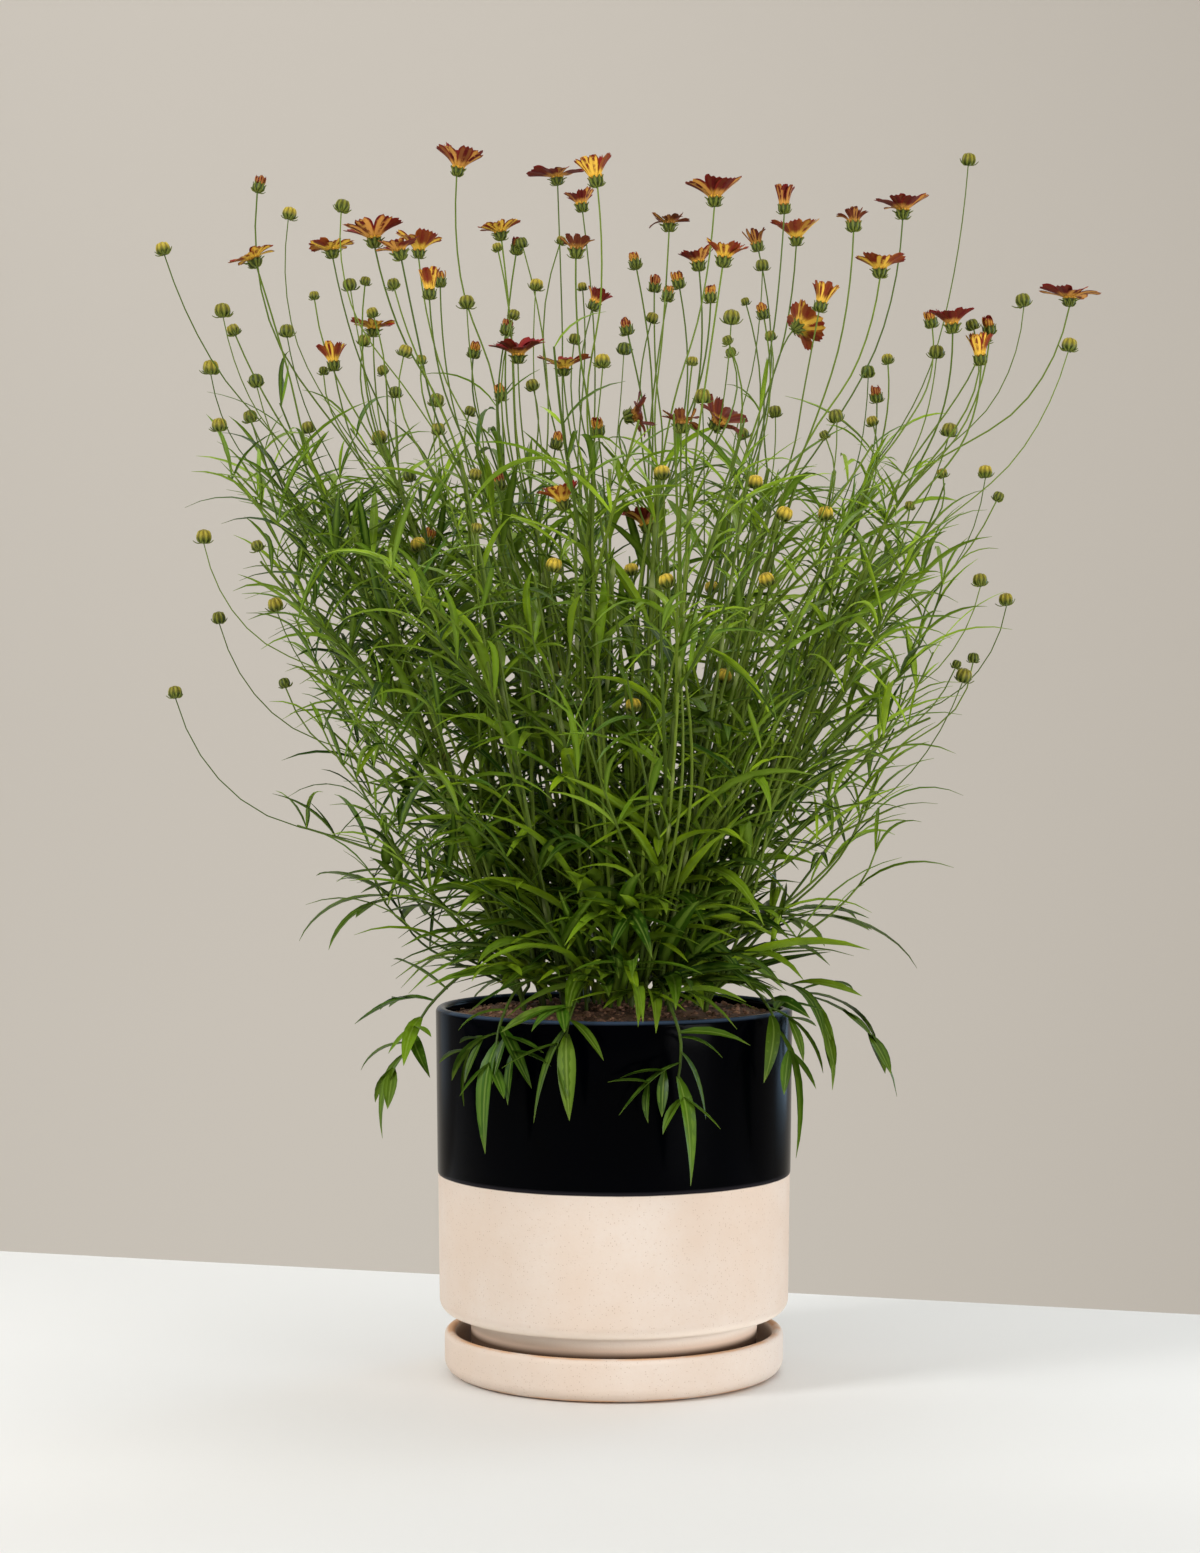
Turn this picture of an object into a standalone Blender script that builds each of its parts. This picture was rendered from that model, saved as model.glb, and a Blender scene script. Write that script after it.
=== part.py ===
"""A coreopsis in bloom, growing in a two-tone stoneware pot that stands on its saucer.

The frame is metres, +Z up, with the origin at the middle of the saucer's underside. The front of
the plant looks towards -Y. The clump is a crown of leafy stems: each stands in its own hole in the
soil, carries opposite leaves, and ends in bare stalks with buds, opening heads and the green cups
under the blooms. The blooms are pieces of their own, each just above its cup.
"""

import math
import random

import bmesh
import bpy
import numpy as np
from mathutils import Matrix, Vector
from mathutils.bvhtree import BVHTree

MM = 0.001
GAP = 0.3 * MM
CLEAR = 0.45 * MM
WELD = 0.00001

# Pot and saucer
TURNED_STEPS = 32
POT_RADIUS = 100.5 * MM
POT_RIM_Z = 206 * MM
POT_WALL = 6 * MM
POT_BODY_LOW_Z = 40 * MM
POT_DRAFT = 1.9 * MM
FOOT_RADIUS = 82.5 * MM
FOOT_TOP_Z = 27 * MM
POT_FLOOR = 9 * MM
POT_INNER_CORNER = 14 * MM
DRAIN_RADIUS = 7 * MM
SAUCER_RADIUS = 95.5 * MM
SAUCER_RIM_Z = 24 * MM
SAUCER_WALL = 6.5 * MM
SAUCER_FLOOR = 8 * MM
SAUCER_CORNER = 7 * MM

# Soil
SOIL_EDGE_Z = 200.5 * MM
SOIL_CROWN_Z = 207 * MM
PLANTING_DEPTH = 24 * MM

# Leafy stems
STEM_COUNT = 20
CLUMP_RADIUS = 57 * MM
CLUMP_DEPTH_SHARE = 0.92
STEM_RADIUS = 2.3 * MM
STEM_TIP_RADIUS = 1.8 * MM
STEM_SPREAD = 0.30
STEM_FLARE = 0.36
STEM_HEIGHT = 0.295
GOLDEN_ANGLE = math.radians(137.508)
EYE_DISTANCE = 1.8
EYE_HEIGHT = 0.368

# Leaves
LEAF_STEP = 66 * MM
LEAF_TRIES = 14
LEAF_THICKNESS = 0.9 * MM
LEAF_ROOT = 1.7 * MM
LOW_LEAF = 98 * MM
TOP_LEAF = 55 * MM
LOW_LEAF_WIDTH = 9 * MM
TOP_LEAF_WIDTH = 3.6 * MM

# Heads
BUD_RADIUS = 4.4 * MM
CUP_RADIUS = 4.2 * MM
CUP_HEIGHT = 5.5 * MM
OPENING_HEIGHT = 10 * MM
DISC_RADIUS = 3.6 * MM
DISC_HEIGHT = 3.0 * MM
DISC_DOME = 1.2 * MM
RAY_FILL = 0.88
RAY_WIDEST = 9 * MM
RAY_THICKNESS = 0.9 * MM
SHUT_RAY_LENGTH = 11 * MM
SHUT_ANGLE = 60
STALK_RADIUS = 1.05 * MM
BUD_STALK_RADIUS = 0.9 * MM
RUNNER_RADIUS = 1.2 * MM
FORK_SPREAD = 0.42
HEAD_TRIES = 60

# Blooms: across, up, span and ray angle above flat; lean to the right and nod to the front; tone.
BLOOMS = (
    (-88, 672, 30, 40, 12, 0, "red"),
    (-31, 667, 37, 10, -5, 0, "red"),
    (-10, 666, 20, 56, -12, 0, "gold"),
    (-17, 652, 20, 45, -8, 0, "red"),
    (-22, 626, 20, 35, 4, 0, "spent"),
    (-201, 621, 27, 12, -22, 0, "gold"),
    (-158, 626, 27, 12, -6, 0, "gold"),
    (-135, 632, 33, 24, -6, 0, "red"),
    (-120, 625, 24, 26, -14, 0, "red"),
    (-109, 626, 30, 38, 2, 0, "gold"),
    (-135, 582, 28, 16, 0, 0, "gold"),
    (-104, 603, 13, 74, 0, 0, "gold"),
    (-63, 636, 27, 20, -10, 0, "gold"),
    (-54, 567, 35, 24, 0, 6, "red"),
    (-28, 560, 33, 20, 0, 4, "gold"),
    (-28, 485, 24, 40, -14, 4, "gold"),
    (19, 472, 28, 38, -10, 6, "red"),
    (5, 537, 26, 30, 80, 0, "spent"),
    (37, 528, 24, 18, 2, 0, "spent"),
    (55, 530, 32, 22, 30, 30, "spent"),
    (31, 641, 25, 12, 0, 0, "spent"),
    (56, 655, 33, 32, 0, 0, "red"),
    (48, 619, 22, 38, -6, 0, "red"),
    (60, 621, 22, 40, 8, 0, "gold"),
    (82, 630, 16, 60, -14, 0, "spent"),
    (96, 651, 13, 76, 0, 0, "red"),
    (103, 633, 31, 36, 0, 0, "gold"),
    (134, 641, 15, 56, 0, 0, "spent"),
    (162, 648, 33, 20, 0, 0, "red"),
    (149, 615, 28, 26, 0, 0, "gold"),
    (101, 586, 32, 20, 45, -50, "gold"),
    (115, 596, 14, 66, 14, 0, "gold"),
    (190, 584, 25, 34, -4, 0, "red"),
    (206, 566, 14, 70, -6, 0, "gold"),
    (256, 599, 35, 12, 0, 0, "red"),
    (-157, 563, 15, 62, -6, 0, "gold"),
    (-12, 597, 16, 60, 25, 0, "red"),
)
# Heads just opening, too small for a bloom of their own: across and up.
OPENING = (
    (23, 607), (30, 602), (37, 609), (211, 583), (179, 587), (-55, 628), (54, 601), (13, 620),
    (-63, 546), (-9, 526), (-33, 519), (-64, 496), (148, 545), (-105, 465), (8, 583), (85, 592),
    (-97, 610), (-79, 570), (-61, 583), (-200, 663),
)  # fmt: skip
BUDS = (
    (-253, 628), (-183, 648), (-154, 652), (-148, 608), (-220, 593), (-184, 582), (-227, 561),
    (-201, 554), (-101, 543), (-44, 608), (-83, 598), (-7, 565), (6, 572), (65, 589), (84, 619),
    (49, 545), (91, 537), (143, 559), (181, 570), (230, 599), (255, 574), (199, 678), (-222, 529),
    (-204, 534), (-171, 528), (-131, 522), (-114, 501), (10, 448), (79, 497), (119, 479),
    (56, 438), (-231, 466), (-222, 421), (-190, 428), (-247, 379), (-31, 394), (206, 442),
    (221, 431), (196, 388), (125, 534), (188, 526), (209, 503),
)  # fmt: skip

# Sprays low on the clump that hang over the rim: the points of each runner in millimetres, then
# for each leaf the runner point it grows from, its tip and its width.
SPRAYS = (
    (
        ((-50, -22, 226), (-78, -36, 229), (-98, -44, 214), (-109, -48, 198), (-115, -50, 182)),
        (
            (1.7, (-121, -52, 236), 7),
            (2.1, (-130, -30, 206), 8),
            (3.5, (-139, -52, 175), 7),
            (3.85, (-127, -56, 138), 9),
            (3.2, (-100, -72, 173), 7),
        ),
    ),
    (
        ((-30, -46, 226), (-50, -72, 224), (-60, -90, 208), (-63, -99, 192)),
        (
            (2.5, (-88, -76, 172), 9),
            (2.8, (-69, -104, 136), 10),
            (2.3, (-44, -114, 172), 8),
            (1.8, (-84, -84, 200), 7),
        ),
    ),
    (
        ((-8, -50, 226), (-17, -84, 224), (-23, -106, 212), (-26, -113, 198)),
        (
            (2.8, (-24, -122, 156), 9),
            (2.5, (-43, -116, 154), 9),
            (2.3, (-6, -124, 188), 7),
            (1.8, (-44, -122, 203), 8),
        ),
    ),
    (
        ((20, -44, 224), (26, -80, 223), (31, -106, 211), (35, -112, 196), (33, -113, 175)),
        (
            (2.8, (57, -112, 188), 7),
            (3.5, (2, -116, 158), 9),
            (3.85, (40, -118, 121), 10),
            (3.2, (48, -116, 156), 7),
        ),
    ),
    (
        ((48, -30, 226), (70, -50, 224), (83, -64, 212), (88, -68, 198)),
        (
            (2.8, (99, -62, 128), 8),
            (2.4, (80, -88, 172), 7),
            (2.1, (114, -58, 174), 8),
        ),
    ),
    (
        ((52, -4, 222), (78, -2, 224), (100, 2, 217), (112, 4, 210)),
        (
            (2.4, (134, -12, 216), 7),
            (2.85, (160, 2, 154), 9),
            (2.6, (150, 16, 182), 8),
            (2.2, (122, -18, 160), 8),
            (1.7, (116, -32, 190), 7),
        ),
    ),
    (
        ((-54, 8, 240), (-90, 10, 258), (-118, 10, 266), (-132, 8, 268)),
        (
            (2.8, (-178, 4, 242), 10),
            (2.1, (-160, -12, 238), 8),
            (2.5, (-170, 24, 278), 9),
            (1.7, (-136, -18, 290), 8),
            (1.3, (-122, 40, 250), 8),
        ),
    ),
    (
        ((50, 12, 240), (80, 14, 254), (104, 14, 256)),
        (
            (1.8, (172, 10, 226), 9),
            (1.5, (140, 38, 252), 8),
            (1.2, (118, -12, 240), 8),
        ),
    ),
    (
        ((-20, 46, 224), (-28, 80, 224), (-34, 106, 210), (-38, 114, 192)),
        (
            (2.4, (-60, 112, 160), 9),
            (2.8, (-32, 124, 144), 9),
            (2.1, (-8, 122, 180), 8),
        ),
    ),
    (
        ((26, 42, 224), (44, 72, 226), (56, 96, 213), (62, 103, 198)),
        (
            (2.8, (70, 112, 150), 9),
            (2.4, (92, 92, 172), 8),
            (2.1, (36, 120, 176), 8),
        ),
    ),
)

parts = bpy.data.collections.new("coreopsis")
cutters = bpy.data.collections.new("cutters")


def material(name, colour, roughness, metallic=0.0):
    made = bpy.data.materials.new(name)
    made.use_nodes = True
    made.diffuse_color = (*colour, 1.0)
    shader = made.node_tree.nodes["Principled BSDF"]
    shader.inputs["Base Color"].default_value = (*colour, 1.0)
    shader.inputs["Roughness"].default_value = roughness
    shader.inputs["Metallic"].default_value = metallic
    return made


def put(obj, finish):
    """Gives the object its material and a place among the parts."""
    obj.data.materials.clear()
    obj.data.materials.append(finish)
    parts.objects.link(obj)
    return obj


# Turned ware


def arc(centre_x, centre_z, radius, start, end, count):
    """Points of a profile's round corner, angles in degrees from +X towards +Z."""
    angles = np.radians(np.linspace(start, end, count))
    return [(centre_x + radius * math.cos(a), centre_z + radius * math.sin(a)) for a in angles]


def turned(name, profile, closed, finish):
    """The profile, (radius, height) points down its outer side, screwed round the Z axis."""
    mesh = bpy.data.meshes.new(name)
    count = len(profile)
    edges = [(k, k + 1) for k in range(count - 1)]
    if closed:
        edges.append((count - 1, 0))
    mesh.from_pydata([(x, 0.0, z) for x, z in profile], edges, [])
    obj = bpy.data.objects.new(name, mesh)
    put(obj, finish)
    screw = obj.modifiers.new("turn", "SCREW")
    screw.steps = TURNED_STEPS
    screw.render_steps = TURNED_STEPS
    screw.use_merge_vertices = True
    screw.merge_threshold = WELD
    screw.use_smooth_shade = True
    return obj


def pot_inner_radius(height):
    """The inside of the pot's wall, which follows the slight draft of the outside."""
    share = (POT_RIM_Z - height) / (POT_RIM_Z - POT_BODY_LOW_Z)
    return POT_RADIUS - POT_WALL - POT_DRAFT * share


def make_pot(finish):
    """A straight pot with a rounded rim, a turned-in base on a narrower foot, and a drain hole."""
    lip = POT_WALL / 2
    low = POT_RADIUS - POT_DRAFT
    under = SAUCER_FLOOR + GAP
    floor = under + POT_FLOOR
    profile = [(DRAIN_RADIUS, floor), (pot_inner_radius(floor) - POT_INNER_CORNER, floor)]
    profile += [(pot_inner_radius(POT_BODY_LOW_Z), POT_BODY_LOW_Z - 4 * MM)]
    profile += arc(POT_RADIUS - lip, POT_RIM_Z - lip, lip, 180, 0, 5)
    profile += [(low, POT_BODY_LOW_Z), (low - 2 * MM, POT_BODY_LOW_Z - 6 * MM)]
    profile += [(low - 8 * MM, POT_BODY_LOW_Z - 11 * MM), (FOOT_RADIUS, FOOT_TOP_Z)]
    profile += [(FOOT_RADIUS - 1 * MM, under), (DRAIN_RADIUS, under)]
    return turned("pot", profile, True, finish)


def make_saucer(finish):
    """A shallow dish with a thick upright wall, rounded at the rim and at the lower corner."""
    lip = SAUCER_WALL / 2
    inner = SAUCER_RADIUS - SAUCER_WALL
    corner = SAUCER_CORNER
    profile = [(0, SAUCER_FLOOR), (inner - 0.5 * MM, SAUCER_FLOOR)]
    profile += arc(SAUCER_RADIUS - lip, SAUCER_RIM_Z - lip, lip, 180, 0, 4)
    profile += arc(SAUCER_RADIUS - corner, corner, corner, 0, -90, 3)
    profile += [(0, 0)]
    return turned("saucer", profile, False, finish)


def soil_height(distance):
    """The surface of the soil, mounded towards the crown."""
    share = min(distance / pot_inner_radius(SOIL_EDGE_Z), 1.0)
    return SOIL_EDGE_Z + (SOIL_CROWN_Z - SOIL_EDGE_Z) * (1 - share * share)


def make_soil(finish):
    """The soil fills the pot, a hair clear of its wall and floor."""
    floor = SAUCER_FLOOR + GAP + POT_FLOOR + GAP
    edge = pot_inner_radius(SOIL_EDGE_Z) - GAP
    shoulder = edge * 0.55
    base = pot_inner_radius(floor) - POT_INNER_CORNER - GAP
    profile = [(0, SOIL_CROWN_Z), (shoulder, soil_height(shoulder)), (edge, SOIL_EDGE_Z)]
    profile += [(pot_inner_radius(POT_BODY_LOW_Z) - GAP, POT_BODY_LOW_Z - 4 * MM)]
    profile += [(base, floor), (0, floor)]
    return turned("soil", profile, False, finish)


# Tubes and blades


def triangle_section():
    """A three-sided section of unit radius, for the thin round stalks."""
    curve = bpy.data.curves.new("section", "CURVE")
    curve.dimensions = "2D"
    spline = curve.splines.new("POLY")
    spline.points.add(2)
    spline.use_cyclic_u = True
    for k, point in enumerate(spline.points):
        turn = k * math.tau / 3
        point.co = (math.cos(turn), math.sin(turn), 0, 1)
    obj = bpy.data.objects.new("section", curve)
    obj.hide_render = True
    obj.display_type = "WIRE"
    cutters.objects.link(obj)
    return obj


def tube(name, points, radii, section=None):
    """A closed mesh along the points: four-sided, or of the given section."""
    curve = bpy.data.curves.new(name, "CURVE")
    curve.dimensions = "3D"
    curve.use_fill_caps = True
    if section:
        curve.bevel_mode = "OBJECT"
        curve.bevel_object = section
    else:
        curve.bevel_depth = 1.0
        curve.bevel_resolution = 0
    spline = curve.splines.new("POLY")
    spline.points.add(len(points) - 1)
    for place, point, radius in zip(spline.points, points, radii):
        place.co = (*point, 1)
        place.radius = radius
    rod = bpy.data.objects.new(name, curve)
    cutters.objects.link(rod)
    graph = bpy.context.evaluated_depsgraph_get()
    mesh = bpy.data.meshes.new_from_object(rod.evaluated_get(graph))
    build = bmesh.new()
    build.from_mesh(mesh)
    bmesh.ops.remove_doubles(build, verts=build.verts, dist=WELD / 10)
    bmesh.ops.recalc_face_normals(build, faces=build.faces)
    build.to_mesh(mesh)
    build.free()
    obj = bpy.data.objects.new(name, mesh)
    obj.matrix_world = rod.matrix_world
    bpy.data.objects.remove(rod)
    return obj


def blade_mesh(points, sides, widths, thickness, keel):
    """A blade lofted along points: flat on one face, ridged by the keel direction on the other.

    The last width gives the tip: 0 is a point, anything else a blunt edge.
    """
    verts = []
    faces = [(2, 1, 0)]
    for point, side, width in zip(points[:-1], sides, widths):
        verts += [point - side * width / 2, point + keel * thickness, point + side * width / 2]
    for k in range(len(points) - 2):
        a = 3 * k
        for near, far in ((0, 1), (1, 2), (2, 0)):
            faces.append((a + near, a + far, a + 3 + far))
            faces.append((a + near, a + 3 + far, a + 3 + near))
    a = 3 * (len(points) - 2)
    tip = len(verts)
    if widths[-1] == 0:
        verts.append(points[-1])
        faces += [(a, a + 1, tip), (a + 1, a + 2, tip), (a + 2, a, tip)]
    else:
        verts += [points[-1] - sides[-1] * widths[-1] / 2, points[-1] + sides[-1] * widths[-1] / 2]
        faces += [(a, a + 1, tip), (a + 1, tip + 1, tip), (a + 1, a + 2, tip + 1)]
        faces += [(a, tip, tip + 1), (a, tip + 1, a + 2)]
    return verts, faces


def mesh_object(name, verts, faces):
    mesh = bpy.data.meshes.new(name)
    mesh.from_pydata(verts, [], faces)
    build = bmesh.new()
    build.from_mesh(mesh)
    bmesh.ops.recalc_face_normals(build, faces=build.faces)
    build.to_mesh(mesh)
    build.free()
    return bpy.data.objects.new(name, mesh)


def cone(name, base, axis, low_radius, high_radius, height, sides):
    """A closed cone frustum that stands on base along axis."""
    mesh = bpy.data.meshes.new(name)
    build = bmesh.new()
    bmesh.ops.create_cone(
        build,
        cap_ends=True,
        segments=sides,
        radius1=low_radius,
        radius2=high_radius,
        depth=height,
    )
    turn = Vector((0, 0, 1)).rotation_difference(axis).to_matrix().to_4x4()
    move = Matrix.Translation(base + axis * height / 2)
    bmesh.ops.transform(build, matrix=move @ turn, verts=build.verts)
    build.to_mesh(mesh)
    build.free()
    return bpy.data.objects.new(name, mesh)


def ball(name, centre, radius):
    mesh = bpy.data.meshes.new(name)
    build = bmesh.new()
    bmesh.ops.create_icosphere(build, subdivisions=1, radius=radius)
    bmesh.ops.translate(build, vec=centre, verts=build.verts)
    build.to_mesh(mesh)
    build.free()
    return bpy.data.objects.new(name, mesh)


def fuse(name, body, pieces, finish):
    """One Boolean union joins the pieces to the body, and their objects are then removed."""
    put(body, finish)
    body.name = name
    group = bpy.data.collections.new(name + "_pieces")
    bpy.context.scene.collection.children.link(group)
    for piece in pieces:
        group.objects.link(piece)
    union = body.modifiers.new("fuse", "BOOLEAN")
    union.operation = "UNION"
    union.operand_type = "COLLECTION"
    union.collection = group
    union.solver = "MANIFOLD"
    graph = bpy.context.evaluated_depsgraph_get()
    joined = bpy.data.meshes.new_from_object(body.evaluated_get(graph))
    body.modifiers.remove(union)
    body.data = joined
    joined.materials.clear()
    joined.materials.append(finish)
    for piece in pieces:
        bpy.data.objects.remove(piece)
    bpy.data.collections.remove(group)
    return body


# Room for every piece: a grown piece is kept only where its surface crosses no other


class Room:
    def __init__(self):
        self.trees = []
        self.lows = []
        self.highs = []
        self.tags = []

    def add(self, shape, tag):
        verts, faces = shape
        points = np.array([tuple(v) for v in verts])
        self.trees.append(BVHTree.FromPolygons([tuple(v) for v in verts], faces))
        self.lows.append(points.min(axis=0))
        self.highs.append(points.max(axis=0))
        self.tags.append(tag)

    def free(self, shape, ignored=()):
        """True where the shape crosses nothing, apart from pieces with an ignored tag."""
        verts, faces = shape
        points = np.array([tuple(v) for v in verts])
        near = np.all(np.array(self.lows) <= points.max(axis=0), axis=1)
        near &= np.all(np.array(self.highs) >= points.min(axis=0), axis=1)
        tree = BVHTree.FromPolygons([tuple(v) for v in verts], faces)
        for k in np.flatnonzero(near):
            if self.tags[k] not in ignored and self.trees[k].overlap(tree):
                return False
        return True


def across(direction):
    """Two unit vectors square to the direction, the first of them level."""
    level = direction.cross(Vector((0, 0, 1)))
    if level.length < 0.01:
        level = Vector((1, 0, 0))
    level.normalize()
    return level, level.cross(direction).normalized()


def tube_shape(points, radii, margin=0.0):
    """Vertices and faces of a six-sided sleeve round the tube, for the room test."""
    verts = []
    faces = []
    for k, (point, radius) in enumerate(zip(points, radii)):
        before = points[max(k - 1, 0)]
        after = points[min(k + 1, len(points) - 1)]
        level, up = across((after - before).normalized())
        for turn in range(6):
            angle = turn * math.tau / 6
            reach = (radius + margin) * 1.1
            verts.append(point + (level * math.cos(angle) + up * math.sin(angle)) * reach)
    for k in range(len(points) - 1):
        for turn in range(6):
            a = 6 * k + turn
            b = 6 * k + (turn + 1) % 6
            faces.append((a, b, b + 6, a + 6))
    faces.append(tuple(range(5, -1, -1)))
    faces.append(tuple(range(6 * len(points) - 6, 6 * len(points))))
    return verts, faces


# Growth: where stems, stalks, heads and leaves lie


def seen_from_front(across_mm, up_mm, depth):
    """The place at this depth that lines up, for an eye in front, with a place at depth 0."""
    scale = (EYE_DISTANCE + depth) / EYE_DISTANCE
    height = EYE_HEIGHT + (up_mm * MM - EYE_HEIGHT) * scale
    return Vector((across_mm * MM * scale, depth, height))


class Stem:
    """One stem of the clump, from its hole in the soil to the foot of its top stalk."""

    def __init__(self, number):
        self.number = number
        self.random = random.Random(100 + number)
        self.share = math.sqrt((number + 0.5) / STEM_COUNT)
        self.angle = number * GOLDEN_ANGLE + 0.4
        self.phase = self.random.uniform(0, math.tau)
        self.height = STEM_HEIGHT * self.random.uniform(0.88, 1.08)
        self.heads = []

    def at(self, rise):
        """The stem's axis at this height above the soil."""
        run = self.share * (CLUMP_RADIUS + max(rise, 0) * (STEM_SPREAD + STEM_FLARE * max(rise, 0)))
        sway = 5 * MM * math.sin(self.phase + rise * 14) * min(max(rise, 0) / 0.1, 1)
        x = run * math.cos(self.angle) - sway * math.sin(self.angle)
        y = run * math.sin(self.angle) * CLUMP_DEPTH_SHARE + sway * math.cos(self.angle)
        return Vector((x, y, soil_height(self.share * CLUMP_RADIUS) + rise))

    def rise_of(self, height):
        return height - soil_height(self.share * CLUMP_RADIUS)

    def tangent(self, rise):
        return (self.at(rise + 0.004) - self.at(rise - 0.004 if rise > 0.004 else 0)).normalized()

    def path(self):
        """Points and radii of the stem. Below ground it is straight and upright."""
        rises = [-PLANTING_DEPTH, 4 * MM] + [self.height * k / 4 for k in range(1, 5)]
        points = [self.at(0) + Vector((0, 0, rises[0])), self.at(0) + Vector((0, 0, rises[1]))]
        points += [self.at(rise) for rise in rises[2:]]
        thin = (STEM_RADIUS - STEM_TIP_RADIUS) / self.height
        return points, [STEM_RADIUS - thin * max(rise, 0) for rise in rises]


def head_axis(lean, nod):
    """The way a head faces: straight up, leant to the right and nodded to the front."""
    lean = math.radians(lean)
    nod = math.radians(nod)
    facing = Vector((math.sin(lean), -math.sin(nod) * math.cos(lean), 1))
    facing.z = math.cos(lean) * math.cos(nod)
    return facing.normalized()


def nearest_stem(stems, x_mm, up_mm, load):
    """The stem whose line passes nearest below the head, the least laden first."""

    def cost(stem):
        line = stem.at(stem.rise_of(up_mm * MM))
        return abs(line.x - x_mm * MM) + len(stem.heads) * load

    return min(stems, key=cost)


def stalk_path(stem, foot_rise, fork, tip, axis, count):
    """A smooth stalk that forks off the stem and arrives along the head's axis."""
    start = stem.at(foot_rise)
    reach = (tip - start).length
    hold = 0.4 if axis.z > 0.7 else 0.14
    tangent = stem.tangent(foot_rise)
    level, up = across(tangent)
    aside = (level * math.cos(fork) + up * math.sin(fork)) * FORK_SPREAD
    aim = (tip - start).normalized()
    along = max(aim.dot(tangent), 0.0) ** 3
    heading = tangent * 0.7 * along + aim * (1 - 0.7 * along) + aside * along
    leave = start + heading.normalized() * reach * 0.3
    arrive = tip - axis * reach * hold
    points = []
    for k in range(count):
        t = k / (count - 1)
        u = 1 - t
        points.append(
            start * u**3 + leave * 3 * u * u * t + arrive * 3 * u * t * t + tip * t**3
        )
    return points


def bloom_mesh(name, base, axis, span, opening, count, margin=0.0):
    """A disc that stands on base, with a ray extruded in two lengths from each of its sides.

    The margin swells the whole bloom, for the room test.
    """
    length = SHUT_RAY_LENGTH
    if opening < SHUT_ANGLE:
        length = (span * MM / 2 - DISC_RADIUS) / math.cos(math.radians(opening))
    edge = DISC_RADIUS * math.cos(math.pi / count)
    reach = edge + 0.6 * length * math.cos(math.radians(opening + 6)) - RAY_THICKNESS / 2
    width = min(RAY_FILL * 2 * reach * math.tan(math.pi / count), RAY_WIDEST)
    mesh = bpy.data.meshes.new(name)
    build = bmesh.new()
    bmesh.ops.create_cone(
        build,
        cap_ends=True,
        segments=count,
        radius1=DISC_RADIUS,
        radius2=DISC_RADIUS,
        depth=DISC_HEIGHT,
    )
    build.normal_update()
    roots = [face for face in build.faces if abs(face.normal.z) < 0.5]
    crown = [face for face in build.faces if face.normal.z > 0.5]
    domed = bmesh.ops.poke(build, faces=crown)
    bmesh.ops.translate(build, vec=(0, 0, DISC_DOME), verts=domed["verts"])
    for root in roots:
        outward = root.normal.copy()
        side = Vector((0, 0, 1)).cross(outward)
        face = root
        place = face.calc_center_median()
        for share, pitch, wide in ((0.6, opening + 6, 1.0), (0.4, opening - 16, 0.55)):
            slope = math.radians(pitch)
            along = outward * math.cos(slope) + Vector((0, 0, math.sin(slope)))
            thick = along.cross(side) * (RAY_THICKNESS + margin) / 2
            place = place + along * (length * share + margin / 2)
            half = side * (width * wide + margin) / 2
            face = bmesh.ops.extrude_discrete_faces(build, faces=[face])["faces"][0]
            middle = face.calc_center_median()
            for vert in face.verts:
                offset = vert.co - middle
                vert.co = place + half * math.copysign(1, offset.dot(side))
                if wide == 1.0:
                    vert.co += thick * math.copysign(1, offset.z)
    bmesh.ops.remove_doubles(build, verts=build.verts, dist=WELD)
    turn = Vector((0, 0, 1)).rotation_difference(axis).to_matrix().to_4x4()
    move = Matrix.Translation(base + axis * DISC_HEIGHT / 2)
    bmesh.ops.transform(build, matrix=move @ turn, verts=build.verts)
    bmesh.ops.triangulate(build, faces=build.faces)
    build.to_mesh(mesh)
    build.free()
    return mesh


def bloom_shape(base, axis, span, opening, count, margin):
    mesh = bloom_mesh("room", base, axis, span, opening, count, margin)
    verts = [vert.co.copy() for vert in mesh.vertices]
    faces = [tuple(face.vertices) for face in mesh.polygons]
    bpy.data.meshes.remove(mesh)
    return verts, faces


def merged(shapes):
    verts = []
    faces = []
    for more_verts, more_faces in shapes:
        start = len(verts)
        verts += more_verts
        faces += [tuple(start + i for i in face) for face in more_faces]
    return verts, faces


def head_shape(tip, axis, kind, span, opening, margin):
    """What the head fills, for the room test."""
    if kind == "bud":
        ends = [tip - axis * margin, tip + axis * (2 * BUD_RADIUS + margin)]
        return tube_shape(ends, (BUD_RADIUS,) * 2, margin)
    ends = [tip - axis * margin, tip + axis * (CUP_HEIGHT + DISC_HEIGHT + GAP + margin)]
    core = tube_shape(ends, (CUP_RADIUS,) * 2, margin)
    if kind == "opening":
        ends[1] = tip + axis * (OPENING_HEIGHT + margin)
        return tube_shape(ends, (CUP_RADIUS,) * 2, margin)
    base = tip + axis * (CUP_HEIGHT + GAP)
    rays = bloom_shape(base, axis, span, opening, ray_count(opening), margin)
    return merged([core, rays])


def ray_count(opening):
    return 5 if opening > 50 else 6


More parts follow.
